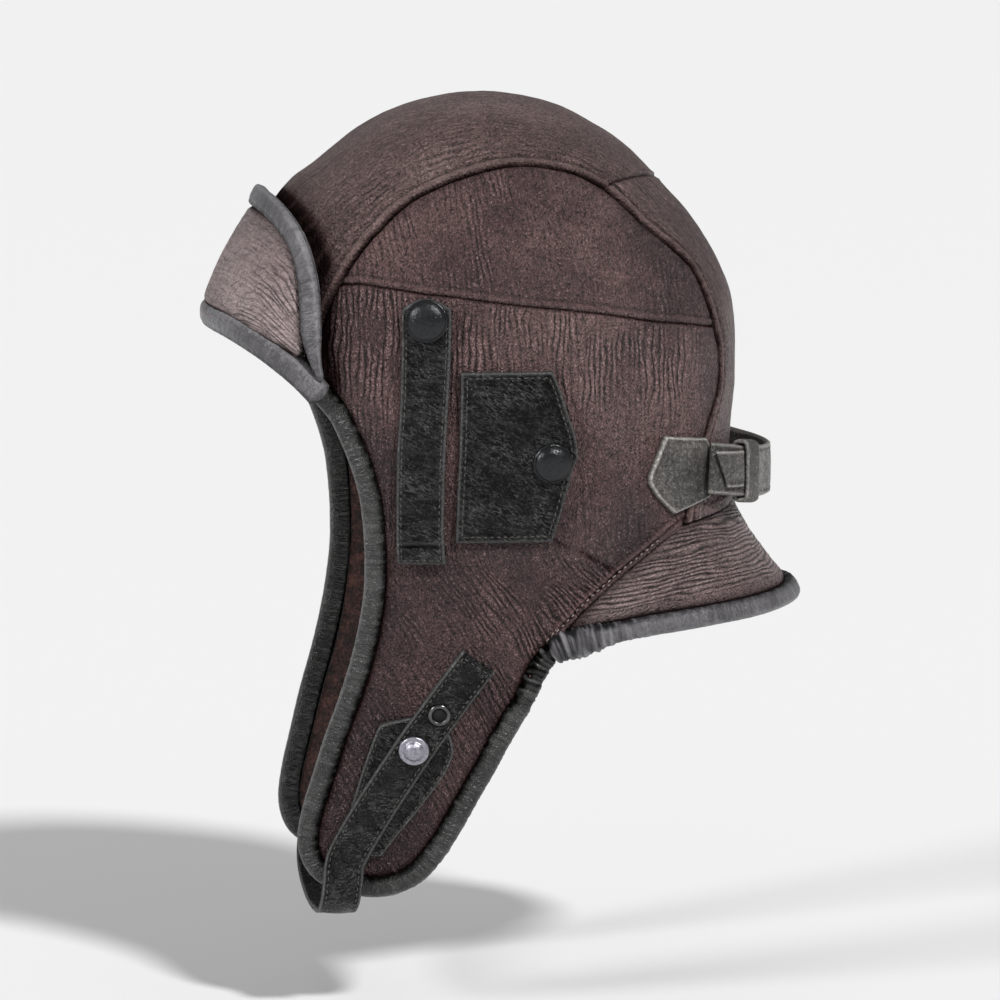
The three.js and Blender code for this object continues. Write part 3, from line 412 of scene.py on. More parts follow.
def grid_normals(G, way):
    a, b = np.gradient(G, axis=0), np.gradient(G, axis=1)
    n = unit(np.cross(a, b))
    flip = np.sign((n * way).sum(-1, keepdims=True))
    return n * np.where(flip == 0, 1, flip)


class Patch:   # a grid of points on a finished surface, read between its nodes
    def __init__(self, t, u, points, normals):
        self.t, self.u, self.p, self.n = np.asarray(t), np.asarray(u), points, normals

    def at(self, t, u):
        t, u = np.broadcast_arrays(np.asarray(t, float), np.asarray(u, float))
        i = np.clip(np.searchsorted(self.t, t, side="right") - 1, 0, len(self.t) - 2)
        j = np.clip(np.searchsorted(self.u, u, side="right") - 1, 0, len(self.u) - 2)
        a = ((t - self.t[i]) / (self.t[i + 1] - self.t[i]))[..., None]
        b = ((u - self.u[j]) / (self.u[j + 1] - self.u[j]))[..., None]
        f = lambda g: mix(mix(g[i, j], g[i + 1, j], a), mix(g[i, j + 1], g[i + 1, j + 1], a), b)
        return f(self.p), unit(f(self.n))


def stitches(points, normals, pitch=2.8, length=2.0, radius=0.27, lift=0.05, tilt=0.0, jitter=0.08):
    """Threads along a line on a surface: one short rounded capsule for each stitch, its ends sunk in."""
    run = np.concatenate([[0], np.cumsum(np.linalg.norm(np.diff(points, axis=0), axis=1))])
    n = max(int(run[-1] / pitch), 1)
    rnd = np.random.RandomState(int(run[-1] * 7) % 9973)
    at = (np.arange(n) + 0.5) * run[-1] / n + rnd.uniform(-jitter, jitter, n)
    c = np.stack([np.interp(at, run, points[:, k]) for k in range(3)], 1)
    up = unit(np.stack([np.interp(at, run, normals[:, k]) for k in range(3)], 1))
    e = 0.6
    a = np.stack([np.interp(at + e, run, points[:, k]) - np.interp(at - e, run, points[:, k]) for k in range(3)], 1)
    a = unit(a - up * (a * up).sum(1, keepdims=True))
    side = np.cross(up, a)
    turn = tilt + rnd.uniform(-0.09, 0.09, n)
    a, side = a * np.cos(turn)[:, None] + side * np.sin(turn)[:, None], side * np.cos(turn)[:, None] - a * np.sin(turn)[:, None]
    st = np.array([-1, -0.72, 0, 0.72, 1.0])
    rad = radius * np.array([0.45, 0.9, 1.0, 0.9, 0.45])
    dip = -radius * np.array([1.3, 0.35, -0.25, 0.35, 1.3])
    m = 6
    ang = np.arange(m) * 2 * np.pi / m
    V = (c[:, None, None, :] + up[:, None, None, :] * lift
         + a[:, None, None, :] * (st * length / 2)[None, :, None, None]
         + side[:, None, None, :] * (rad[:, None] * np.cos(ang)[None, :])[None, :, :, None]
         + up[:, None, None, :] * (rad[:, None] * 0.85 * np.sin(ang)[None, :] + dip[:, None])[None, :, :, None])
    K = len(st)
    i, k = np.meshgrid(np.arange(K - 1), np.arange(m), indexing="ij")
    q = np.stack([(i * m + k).ravel(), (i * m + (k + 1) % m).ravel(), ((i + 1) * m + (k + 1) % m).ravel(), ((i + 1) * m + k).ravel()], 1)
    caps = [[0, k + 1, k] for k in range(1, m - 1)] + [[(K - 1) * m, (K - 1) * m + k, (K - 1) * m + k + 1] for k in range(1, m - 1)]
    off = (np.arange(n) * K * m)[:, None, None]
    return V.reshape(-1, 3), [(q[None] + off).reshape(-1, 4), (np.array(caps)[None] + off).reshape(-1, 3)]


def sewn(name, rows, material, flip=False):
    return joined(name, rows, material, flip)


# ---------------------------------------------------------------------------------------------------------------------
# Materials
# ---------------------------------------------------------------------------------------------------------------------
class Mat:
    def __init__(self, name):
        self.m = bpy.data.materials.new(name)
        self.m.use_nodes = True
        self.t = self.m.node_tree
        self.t.nodes.clear()
        self.out = self.t.nodes.new("ShaderNodeOutputMaterial")
        self.b = self.t.nodes.new("ShaderNodeBsdfPrincipled")
        self.t.links.new(self.b.outputs[0], self.out.inputs[0])
        at = self.t.nodes.new("ShaderNodeAttribute")
        at.attribute_type, at.attribute_name = "GEOMETRY", "hide"
        self.co = at.outputs["Vector"]
        at = self.t.nodes.new("ShaderNodeAttribute")
        at.attribute_type, at.attribute_name = "GEOMETRY", "folds"
        self.folds = at.outputs["Vector"]

    def put(self, **values):
        for k, v in values.items():
            self.b.inputs[k.replace("_", " ")].default_value = v
        return self

    def link(self, a, b):
        self.t.links.new(a, b)

    def feed(self, socket, value):
        if isinstance(value, bpy.types.NodeSocket):
            self.link(value, socket)
        else:
            socket.default_value = value

    def scaled(self, vector, scale, rotate=(0, 0, 0)):
        n = self.t.nodes.new("ShaderNodeMapping")
        self.link(vector, n.inputs["Vector"])
        n.inputs["Rotation"].default_value = rotate
        n.inputs["Scale"].default_value = scale
        return n.outputs[0]

    def noise(self, vector, scale, detail=3.0, rough=0.55, distort=0.0):
        n = self.t.nodes.new("ShaderNodeTexNoise")
        self.link(vector, n.inputs["Vector"])
        for k, v in (("Scale", scale), ("Detail", detail), ("Roughness", rough), ("Distortion", distort)):
            n.inputs[k].default_value = v
        return n.outputs["Fac"] if "Fac" in n.outputs else n.outputs[0]

    def cells(self, vector, scale, feature="F1", random=1.0):
        n = self.t.nodes.new("ShaderNodeTexVoronoi")
        n.feature = feature
        self.link(vector, n.inputs["Vector"])
        n.inputs["Scale"].default_value = scale
        n.inputs["Randomness"].default_value = random
        return n.outputs["Distance"]

    def math(self, op, a, b=0.0, c=0.0, clamp=False):
        n = self.t.nodes.new("ShaderNodeMath")
        n.operation, n.use_clamp = op, clamp
        for k, v in enumerate((a, b, c)):
            self.feed(n.inputs[k], v)
        return n.outputs[0]

    def span(self, value, a, b, c=0.0, d=1.0, smooth=True):
        n = self.t.nodes.new("ShaderNodeMapRange")
        n.interpolation_type = "SMOOTHSTEP" if smooth else "LINEAR"
        self.link(value, n.inputs[0])
        for k, v in enumerate((a, b, c, d)):
            self.feed(n.inputs[k + 1], v)
        return n.outputs[0]

    def ramp(self, value, stops):
        n = self.t.nodes.new("ShaderNodeValToRGB")
        self.link(value, n.inputs[0])
        e = n.color_ramp.elements
        while len(e) < len(stops):
            e.new(0.5)
        for k, (at, colour) in enumerate(stops):
            e[k].position, e[k].color = at, (*colour, 1.0)
        return n.outputs[0]

    def blend(self, fac, a, b, mode="MIX"):
        n = self.t.nodes.new("ShaderNodeMix")
        n.data_type, n.blend_type = "RGBA", mode
        self.feed(n.inputs[0], fac)
        for k, v in ((6, a), (7, b)):
            if isinstance(v, bpy.types.NodeSocket):
                self.link(v, n.inputs[k])
            else:
                n.inputs[k].default_value = (*v, 1.0)
        return n.outputs[2]

    def field(self, name):
        n = self.t.nodes.new("ShaderNodeAttribute")
        n.attribute_type, n.attribute_name = "GEOMETRY", name
        return n.outputs["Fac"]

    def bump(self, height, distance, strength=1.0, under=None):
        n = self.t.nodes.new("ShaderNodeBump")
        self.link(height, n.inputs["Height"])
        n.inputs["Distance"].default_value = distance
        n.inputs["Strength"].default_value = strength
        if under is not None:
            self.link(under, n.inputs["Normal"])
        return n.outputs[0]


def lin(r, g, b):   # a colour as it is seen, to the shader's scale
    f = lambda v: v / 255 / 12.92 if v / 255 <= 0.04045 else ((v / 255 + 0.055) / 1.055) ** 2.4
    return (f(r), f(g), f(b))


def warped(m, vector, scale, amount):
    n = m.t.nodes.new("ShaderNodeTexNoise")
    m.link(vector, n.inputs["Vector"])
    n.inputs["Scale"].default_value, n.inputs["Detail"].default_value = scale, 2
    v = m.t.nodes.new("ShaderNodeVectorMath")
    v.operation = "MULTIPLY_ADD"
    m.link(n.outputs["Color"], v.inputs[0])
    v.inputs[1].default_value = (amount, amount, amount)
    m.link(vector, v.inputs[2])
    return v.outputs[0]


def leather(name, dark, mid, light, grain=1.0, rough=(0.34, 0.5), depth=0.002, spread=(0.5, 1.5), level=0.5, fold=(0.4, 2.6, 0.25), tone_span=(0.36, 0.66), fine=1.0, sheen=0.0, glint=0.35, mid_size=0.35, net=0.14, shine=0.12, patch=(95, 0.15)):
    """Hide: fine pebbles, a net of wrinkles and, where the fold mask is set, long folds. The colour carries painted
    shade in the valleys and painted highlights on the tops.
    """
    m = Mat(name)
    co = warped(m, m.co, 260, 0.0012)
    peb = m.math("SUBTRACT", 0.42, m.cells(co, 1250 * grain))
    n2 = m.math("SUBTRACT", m.noise(co, 1700 * grain, 1, 0.6), 0.5)
    n1 = m.math("SUBTRACT", m.noise(co, 480 * grain, 2, 0.6), 0.5)
    creased = m.math("ABSOLUTE", m.math("SUBTRACT", m.noise(m.scaled(co, (1.0, 0.5, 1.0)), 300 * grain, 3, 0.65), 0.5))
    crease = m.math("SUBTRACT", 1.0, m.span(creased, 0.0, 0.03))
    fine_h = m.math("ADD", m.math("MULTIPLY", peb, 0.5 * fine), m.math("MULTIPLY", n2, 1.0 * fine))
    height = m.math("ADD", fine_h, m.math("MULTIPLY", n1, mid_size))
    height = m.math("SUBTRACT", height, m.math("MULTIPLY", crease, net))
    sep = m.t.nodes.new("ShaderNodeSeparateXYZ")
    m.link(m.folds, sep.inputs[0])
    slow = m.scaled(m.folds, (1, fold[2], 1))
    phase = m.math("ADD", m.math("MULTIPLY", sep.outputs[0], 3141.6 / fold[1]), m.math("MULTIPLY", m.noise(slow, 130, 3, 0.55), 11.0))
    ridge = m.math("ABSOLUTE", m.math("SINE", phase))
    ridge = m.math("SUBTRACT", m.math("POWER", ridge, 0.6), 0.72)
    mask = m.span(m.noise(m.scaled(m.folds, (1, 0.6, 1)), patch[0], 2, 0.5), 0.38, 0.6, patch[1], 1.08)
    wave = m.math("MULTIPLY", m.math("MULTIPLY", m.math("MULTIPLY", ridge, mask), fold[0]), m.field("wave"))
    height = m.math("ADD", height, wave)
    tone = m.math("ADD", m.math("MULTIPLY", m.noise(m.co, 14, 3, 0.55), 0.7), m.math("MULTIPLY", m.noise(m.co, 45, 2, 0.5), 0.3))
    colour = m.ramp(tone, [(tone_span[0], dark), (0.5, mid), (tone_span[1], light)])
    # painted shade and light: the colour is darker in the grain's valleys and lighter on its tops
    gain = m.span(height, -0.42, 0.36, spread[0], spread[1], smooth=False)
    grey = m.t.nodes.new("ShaderNodeCombineColor")
    for k in range(3):
        m.link(gain, grey.inputs[k])
    colour = m.blend(1.0, colour, grey.outputs[0], "MULTIPLY")
    # painted highlight: glints on the highest grain
    colour = m.blend(m.math("MULTIPLY", m.span(height, 0.1, 0.36), glint), colour, tuple(min(c * 1.6 + shine, 1) for c in light))
    # painted shade where the shade field is set: seams, creases, binding edges and the visor's shadow
    colour = m.blend(m.field("shade"), colour, tuple(c * 0.14 for c in dark))
    # wear together with painted highlights on rims, ridges and fold tops
    colour = m.blend(m.field("wear_and_highlight"), colour, tuple(min(c * 1.6, 1) for c in light))
    m.link(colour, m.b.inputs["Base Color"])
    m.link(m.span(height, -0.2, 0.25, rough[1], rough[0]), m.b.inputs["Roughness"])
    m.link(m.bump(height, depth, 1.0), m.b.inputs["Normal"])
    # no specular where shade is painted, so the painted hollows stay dark
    m.link(m.span(m.field("shade"), 0.0, 0.8, level, 0.0), m.b.inputs["Specular IOR Level"])
    return m.put(Sheen_Weight=sheen, Sheen_Roughness=0.5, IOR=1.47).m


def glossy(name, dark, mid, light, depth=0.0016, rough=(0.22, 0.4), level=0.6, cross=(0.7, 2.6, 0.3), size=260, fine=0.22, edge=0.5, stretch=(1.0, 0.6, 1.0), turn=0.5, glint=0.3, lumps=1.1, warp=0.003, spark=(3.0, 0.1), contrast=(0.45, 1.6), crest=0.0, crest_size=520, crest_stretch=0.2, crest_turn=0.5):
    """Thin dyed leather: soft lumps and sharp wrinkles with only a little grain; the colour carries painted shade in
    the hollows and painted highlights on wrinkle lips and crests.
    """
    m = Mat(name)
    co = warped(m, m.scaled(m.co, (1, 1, 1), (turn, 0, turn)), 140, warp)
    stretched = m.scaled(co, stretch)
    lump = m.math("SUBTRACT", m.noise(stretched, size, 2, 0.5), 0.5)
    wr = m.math("ABSOLUTE", m.math("SUBTRACT", m.noise(stretched, size * 1.5, 3, 0.6), 0.5))
    wrinkle = m.math("SUBTRACT", 1.0, m.span(wr, 0.0, 0.07, smooth=False))
    grain = m.math("SUBTRACT", m.noise(m.co, 1400, 2, 0.6), 0.5)
    sep = m.t.nodes.new("ShaderNodeSeparateXYZ")
    m.link(m.folds, sep.inputs[0])
    slow = m.scaled(m.folds, (1, cross[2], 1))
    phase = m.math("ADD", m.math("MULTIPLY", sep.outputs[0], 3141.6 / cross[1]), m.math("MULTIPLY", m.noise(slow, 150, 3, 0.55), 10.0))
    ridge = m.math("SUBTRACT", m.math("POWER", m.math("ABSOLUTE", m.math("SINE", phase)), 0.6), 0.7)
    wave = m.math("MULTIPLY", m.math("MULTIPLY", ridge, cross[0]), m.field("wave"))
    height = m.math("ADD", m.math("MULTIPLY", lump, lumps), m.math("MULTIPLY", grain, fine))
    height = m.math("SUBTRACT", height, m.math("MULTIPLY", wrinkle, 0.22))
    height = m.math("ADD", height, wave)
    lip = m.math("MULTIPLY", m.span(wr, 0.03, 0.075), m.span(wr, 0.14, 0.08))
    tone = m.noise(m.co, 25, 3, 0.6)
    colour = m.ramp(tone, [(0.36, dark), (0.5, mid), (0.64, light)])
    # painted shade and light: the colour is darker in the hollows and lighter on the lumps
    gain = m.span(height, -0.35, 0.3, contrast[0], contrast[1], smooth=False)
    grey = m.t.nodes.new("ShaderNodeCombineColor")
    for k in range(3):
        m.link(gain, grey.inputs[k])
    colour = m.blend(1.0, colour, grey.outputs[0], "MULTIPLY")
    # painted highlight: glints along the wrinkles' lips
    spot = m.math("MULTIPLY", m.math("MULTIPLY", lip, m.span(m.noise(m.co, 420, 2, 0.6), 0.42, 0.62)), glint)
    colour = m.blend(spot, colour, tuple(min(c * spark[0] + spark[1], 1) for c in light))
    # painted highlight: bright lines along the crests of long creases, with a little height
    if crest:
        along = m.scaled(warped(m, m.scaled(m.folds, (1, 1, 1), (0, 0, crest_turn)), 110, 0.0016), (1, crest_stretch, 1))
        line = m.math("ABSOLUTE", m.math("SUBTRACT", m.noise(along, crest_size, 3, 0.6), 0.5))
        line = m.math("MULTIPLY", m.span(line, 0.06, 0.0), m.span(m.noise(m.folds, 85, 3, 0.6), 0.38, 0.64, 0.1, 1.0))
        line = m.math("MULTIPLY", line, m.span(m.noise(m.co, 1300, 2, 0.7), 0.36, 0.6, 0.35, 1.0))
        height = m.math("ADD", height, m.math("MULTIPLY", line, 0.3))
        colour = m.blend(m.math("MULTIPLY", line, crest), colour, tuple(min(c * spark[0] + spark[1], 1) for c in light))
    # painted shade where the shade field is set
    colour = m.blend(m.field("shade"), colour, tuple(c * 0.2 for c in dark))
    # wear together with painted highlights on rims and crease tops
    colour = m.blend(m.field("wear_and_highlight"), colour, tuple(min(c * 1.8 + 0.13, 1) for c in light))
    m.link(colour, m.b.inputs["Base Color"])
    m.link(m.span(height, -0.25, 0.25, rough[1], rough[0]), m.b.inputs["Roughness"])
    m.link(m.bump(height, depth, 1.0), m.b.inputs["Normal"])
    # no specular where shade is painted
    m.link(m.span(m.field("shade"), 0.0, 0.8, level, 0.0), m.b.inputs["Specular IOR Level"])
    return m.put(IOR=1.5).m


def plain(name, colour, rough=0.5, metal=0.0, bump_scale=0.0, depth=0.0001):
    m = Mat(name)
    n = m.noise(m.co, bump_scale or 300, 3)
    c = m.blend(m.span(n, 0.3, 0.7), tuple(x * 0.75 for x in colour), tuple(min(x * 1.2, 1) for x in colour))
    m.link(c, m.b.inputs["Base Color"])
    m.link(m.span(m.noise(m.co, 120, 3), 0.3, 0.7, max(rough - 0.08, 0.05), rough + 0.1), m.b.inputs["Roughness"])
    if bump_scale:
        m.link(m.bump(n, depth, 0.8), m.b.inputs["Normal"])
    return m.put(Metallic=metal).m


def wool(name, dark, light):
    m = Mat(name)
    a = m.noise(m.co, 900, 4, 0.7)
    b = m.noise(m.co, 200, 3, 0.6)
    colour = m.ramp(m.math("ADD", m.math("MULTIPLY", a, 0.6), m.math("MULTIPLY", b, 0.4)), [(0.42, dark), (0.52, tuple(mix(p, q, 0.4) for p, q in zip(dark, light))), (0.6, light)])
    m.link(colour, m.b.inputs["Base Color"])
    m.link(m.bump(m.math("ADD", a, b), 0.0009, 1.0), m.b.inputs["Normal"])
    return m.put(Roughness=0.95, Sheen_Weight=0.5, Sheen_Roughness=0.5, Specular_IOR_Level=0.2).m


# The brown hides are copies of one leather at different brightness, visor and neck lightest, crown strip next, side
# panels darkest: partly the leather's own tone, partly painted light.
HIDE = leather("hide_side", lin(57, 40, 41), lin(82, 60, 60), lin(107, 83, 81), spread=(0.14, 1.85), fold=(0.8, 2.4, 0.3), glint=0.6, mid_size=0.5, net=0.13, rough=(0.3, 0.46), tone_span=(0.39, 0.62), patch=(75, 0.12))
HIDE_TOP = leather("hide_top", lin(76, 58, 56), lin(96, 76, 74), lin(118, 98, 95), spread=(0.18, 1.8), fold=(0.6, 2.6, 0.25), glint=0.5, mid_size=0.42, rough=(0.3, 0.46))
HIDE_NECK = leather("hide_neck", lin(96, 79, 78), lin(117, 99, 97), lin(137, 120, 117), spread=(0.16, 1.85), fold=(0.85, 2.1, 0.2), glint=0.5, fine=0.8, rough=(0.3, 0.46), patch=(100, 0.6))
HIDE_VISOR = leather("hide_visor", lin(114, 99, 98), lin(135, 119, 118), lin(154, 139, 137), depth=0.0018, spread=(0.36, 1.56), fold=(0.75, 2.6, 0.25), glint=0.3, fine=0.5, net=0.2, patch=(95, 0.35))
BLACK = glossy("hide_black", lin(3, 3, 3), lin(8, 8, 8), lin(18, 17, 17), depth=0.0026, size=430, stretch=(1, 0.34, 1), turn=0.61, glint=0.0, cross=(0.5, 3.0, 0.3), rough=(0.2, 0.34), level=0.2, fine=0.22, warp=0.0014, spark=(2.0, 0.15), contrast=(0.1, 2.2), crest=0.85, crest_turn=-1.07, crest_size=680, crest_stretch=0.3)
TAB = glossy("hide_tab", lin(64, 62, 59), lin(88, 85, 81), lin(116, 113, 108), depth=0.0018, size=420, stretch=(1, 0.5, 1), glint=0.3, cross=(0.5, 3.0, 0.3), level=0.45, warp=0.0016, lumps=0.8, spark=(1.5, 0.08))
BINDING = glossy("binding", lin(78, 76, 79), lin(94, 92, 95), lin(112, 110, 113), depth=0.0009, size=300, cross=(0.35, 2.4, 0.3), glint=0.1, fine=0.6, rough=(0.3, 0.42), level=0.45, lumps=0.35, warp=0.0016, spark=(1.5, 0.05), contrast=(0.6, 1.4))
BINDING_DARK = glossy("binding_low", lin(20, 20, 19), lin(30, 30, 29), lin(46, 46, 45), depth=0.0012, size=320, cross=(0.6, 2.6, 0.3), glint=0.2, rough=(0.2, 0.34), level=0.55, fine=0.4, lumps=0.5, warp=0.0016, spark=(2.0, 0.08), contrast=(0.35, 1.7))
FLEECE = wool("fleece", lin(20, 13, 12), lin(104, 66, 58))
THREAD = plain("thread", lin(52, 44, 42), 0.6)
THREAD_LIGHT = plain("thread_light", lin(80, 77, 73), 0.5)
THREAD_PALE = plain("thread_pale", lin(138, 126, 120), 0.55)
SNAP_DARK = plain("snap_dark", lin(34, 35, 37), 0.24, 0.45, 900, 0.0003)
SNAP_BRIGHT = plain("snap_bright", lin(158, 156, 165), 0.34, 1.0, 900, 0.00025)
EYELET = plain("eyelet_metal", lin(92, 93, 92), 0.3, 1.0)
# near-black for the painted shadow inside the eyelet
EYELET_SHADOW = plain("painted_eyelet_shadow", lin(8, 8, 8), 0.9)

LEFT, BOTH = False, (False, True)
ARC_ROWS = np.concatenate([np.linspace(182, 4, 300), np.linspace(3.5, -72.4, 120)])
ARC_LINE = arc_seam(ARC_ROWS)
SIDE_Y = np.linspace(-63.6, 89.9, 260)
SIDE_LINE = on_side(SIDE_Y, look(SIDE_SEAM, SIDE_Y))
FACE_LINE = smooth(on_side([e[0] for e in EDGE], [e[1] for e in EDGE]), 500)[0]
DART_LINE = on_side(*np.array([[19.9, -170.7], [31, -176], [39.5, -180.5], [46.7, -186.3]]).T)


# ---------------------------------------------------------------------------------------------------------------------
# Outer panels
# ---------------------------------------------------------------------------------------------------------------------
FINE = 1.0


def streaks(P, angle, wide, long, seed, octaves=2):   # a field of long narrow waves; angle is across them in the side view
    c, s = math.cos(math.radians(angle)), math.sin(math.radians(angle))
    a, b = c * P[..., 1] + s * P[..., 2], -s * P[..., 1] + c * P[..., 2]
    return layered(np.stack([a / wide, b / long, P[..., 0] / long + seed], -1), octaves)


def spots(P, size, seed, octaves=2):
    return layered(P / size + seed, octaves)


def welt(d, s):     # the centre strip's folded, topstitched edge
    pucker = noise(np.stack([s / 2.0, d / 3.4, s * 0 + 3.3], -1))
    stitch = 0.5 + 0.5 * np.cos(2 * np.pi * s / 2.8)
    return (-1.25 * np.exp(-(d / 0.6) ** 2) + 0.85 * bump(d, 2.3, 1.5) - (0.4 + 0.16 * stitch) * bump(d, 4.7, 0.6)
            + 0.45 * bump(d, 6.7, 1.5) + 0.16 * pucker * ease(d / 1.2) * ease((11 - d) / 6))


def tuck(d, s, deep=1.05):     # a panel's edge that goes under a welt
    pucker = noise(np.stack([s / 2.3, d / 7, s * 0 + 8.1], -1))
    return -deep * np.exp(-(d / 0.75) ** 2) - 0.3 * np.exp(-(d / 2.6) ** 2) + 0.14 * pucker * ease(d / 1.0) * ease((12 - d) / 12)


def soft_edge(d, s, deep=0.9, width=1.7, pucker=0.2, seed=1.0):     # a panel's edge that goes into a binding
    p = noise(np.stack([s / 2.6, d / 9, s * 0 + seed], -1))
    return -deep * np.exp(-(d / width) ** 2) + pucker * p * np.exp(-(d / 8) ** 2)


def absx(P):
    Q = P.copy()
    Q[..., 0] = np.abs(Q[..., 0])
    return Q


EDGE_ROWS, MID_ROWS = [r[0] for r in CENTRE], [r[1] for r in CENTRE]


def centre_at(t, u):
    t, u = np.broadcast_arrays(np.asarray(t, float), np.asarray(u, float))
    edge, mid_row = by_index(EDGE_ROWS, t), by_index(MID_ROWS, t)
    half = look(CENTRE, edge, 2)
    e = 1.8 + 1.4 * ease((edge - 112) / 16)
    return on_row(mid_row + (edge - mid_row) * np.abs(u) ** e, u * half)


CROSS_LINE = centre_at(np.full(161, float(CROSS_SEAM_ROW)), np.linspace(-1, 1, 161))
BROW_LINE = smooth([[-a, b, c] for a, b, c in BROW[:0:-1]] + BROW, 300)[0]
VISOR_LINE = smooth([[-r[0], r[1], r[2]] for r in VISOR_EDGE[:0:-1]] + [r[:3] for r in VISOR_EDGE], 300)[0]


def centre_piece(name, first, last, node):
    g = FINE * (1.0 if first == 0 else 1.35)
    T = even(lambda t: (centre_at(t, 1) + centre_at(t, 0)) / 2, first, last, 1.25 * g)
    near = 1 - np.arange(0, 9.2, 0.5 * g) / 72
    mid = np.linspace(-near[-1], near[-1], int(116 / (1.25 * g)))
    U = np.concatenate([-near[:-1], mid, near[:-1][::-1]])
    P = centre_at(T[:, None], U[None, :])
    N = normal(P)
    d, s = distance(absx(P), ARC_LINE)
    dc, sc = distance(P, CROSS_LINE)
    run = np.cumsum(np.concatenate([[0], np.linalg.norm(np.diff(centre_at(T, 0.0), axis=0), axis=1)]))
    across = U[None, :] * 72 + 0 * run[:, None]
    along_run = run[:, None] + 0 * across
    tilt = 0.35 * ease((12 - T) / 8)[:, None]
    a, b = across + 0.45 * tilt * along_run, along_run
    h = welt(d, s)
    front_side = first == 0
    h += -0.75 * np.exp(-(dc / 0.5) ** 2) + (0.45 if front_side else 0.2) * bump(dc, 1.9, 1.2) - 0.22 * bump(dc, 3.4, 0.5) * (1 if front_side else 0)
    w = layered(np.stack([a / 2.4, b / 11, a * 0 + 5.5], -1), 2)
    h += 0.13 * w * ease(d / 6) + 0.3 * spots(P, 26, 2.2) + 0.09 * spots(P, 4.0, 7.7)
    h += 0.55 * noise(np.stack([across / 30, along_run / 45, across * 0 + 1.2], -1)) * ease(d / 20)
    db, _ = distance(P, BROW_LINE)
    h += -0.8 * np.exp(-(db / 6) ** 2) if front_side else 0
    dn = np.linalg.norm(P - centre_at(np.full((1, 1), float(len(CENTRE) - 1)), U[None, :]), axis=-1)
    if not front_side:
        h += 0.9 * ease((4.2 - dn) / 1.2) - 0.5 * bump(dn, 2.1, 0.5)
    hide = np.stack([a, b * 0.5, N[..., 0] * 0], -1)
    folds = np.stack([a, b, N[..., 0] * 0 + 11], -1)
    wave = ease((d - 2) / 6) * (0.22 + 0.45 * ease((noise(P / 30 + 3) + 0.2) / 0.5)) + 0.35 * ease((14 - d) / 10) * ease((d - 1) / 2)
    dv, _ = distance(P, VISOR_LINE)
    # shade is painted shade: the visor's shadow on the crown and the hollows of the welt and the cross seam
    shade = np.clip(0.98 * np.exp(-(dv / 11.5) ** 8) * front_side + 0.28 * np.exp(-(dv / 18) ** 4) * front_side + 0.95 * np.exp(-(d / 0.75) ** 2) + 0.3 * np.exp(-(d / 3.2) ** 2) * (d < 3.2) + 0.35 * bump(d, 4.7, 0.6)
                    + 0.55 * np.exp(-(dc / 0.6) ** 2), 0, 1)
    # wear and painted highlight on the welt's ridge and the wave tops
    wear_and_highlight = np.clip(0.34 * bump(d, 2.4, 1.1) + 0.1 * w, 0, 0.6)
    outer = P + N * h[..., None]
    shell(name, outer, P - N * LEATHER, HIDE_TOP, (node,), attributes={"hide": hide, "shade": shade, "wear_and_highlight": wear_and_highlight, "folds": folds, "wave": wave})
    return Patch(T, U, outer, grid_normals(outer, N)), P, T, U


front_patch, *_ = centre_piece("crown_strip_front", 0, CROSS_SEAM_ROW, "crown_centre_front")
back_patch, *_ = centre_piece("crown_strip_back", CROSS_SEAM_ROW, len(CENTRE) - 1, "crown_centre_back")


def row_list(pairs, key):     # the two ends of each row as (y, z) columns, arc rows kept exact
    rows = [p[key] for p in pairs]
    arc = [k for k, r in enumerate(rows) if not isinstance(r, tuple)]
    pts = [(arc_seam(float(r))[1:] if not isinstance(r, tuple) else np.array(r)) for r in rows]

    def at(t):
        t = np.asarray(t, float)
        free = np.stack([by_index([q[0] for q in pts], t), by_index([q[1] for q in pts], t)], -1)
        if arc:
            row = by_index([rows[k] for k in arc], np.minimum(t, arc[-1]))
            exact = arc_seam(row)[..., 1:]
            free = np.where((t <= arc[-1])[..., None], exact, free)
        return free
    return at


lower_f, lower_b = row_list(LOWER, 0), row_list(LOWER, 1)
TOP_F, TOP_B = lower_f(0.0), lower_b(0.0)


def lower_at(t, u, tuck_in=False):
    t, u = np.broadcast_arrays(np.asarray(t, float), np.asarray(u, float))
    f, b = lower_f(t), lower_b(t)
    k = 1 - (1 - u) ** 1.25
    y, z = mix(f[..., 0], b[..., 0], k), mix(f[..., 1], b[..., 1], k)
    y0 = mix(TOP_F[0], TOP_B[0], k)
    fade = np.maximum(0, 1 - t / 6) ** 1.5
    z = z + (look(SIDE_SEAM, y0) - mix(TOP_F[1], TOP_B[1], k)) * fade * ease(u / 0.01) * ease((1 - u) / 0.01)
    if tuck_in:      # the free edges run on inside their bindings
        e = unit(b - f)
        wide = np.linalg.norm(b - f, axis=-1)
        near_f, near_b = np.maximum(0, 1 - k * wide / 7) ** 2, np.maximum(0, 1 - (1 - k) * wide / 7) ** 2
        out = 2.6 * (near_b * ease((t - 12.4) / 1.2) - near_f * ease((t - 5.6) / 0.8))
        y, z = y + e[..., 0] * out, z + e[..., 1] * out
        down = 2.6 * ease((t - 24.2) / 1.8)
        y, z = y + e[..., 1] * down * np.sign(e[..., 0]), z - np.abs(e[..., 0]) * down
    return on_side(y, z)


def neck_half(t):     # seam and low line of the neck flap, t from the corner to the middle of the back
    t = np.asarray(t, float)
    col = lambda k: by_index([r[k] for r in NECK], t)
    half = np.abs(col(0))
    side = on_side(col(1), col(2))
    back = on_row(mix(-67.0, -72.4, np.clip(half / 62.6, 0, 1) ** 1.8), half)
    seam = np.where((t <= 6)[..., None], side, back)
    low = np.stack([col(3), col(4), col(5)], -1)
    return seam, low, np.maximum(0, (col(1) - 60) / 45)


NECK_LINE = neck_half(np.linspace(0, 11, 300))[0]


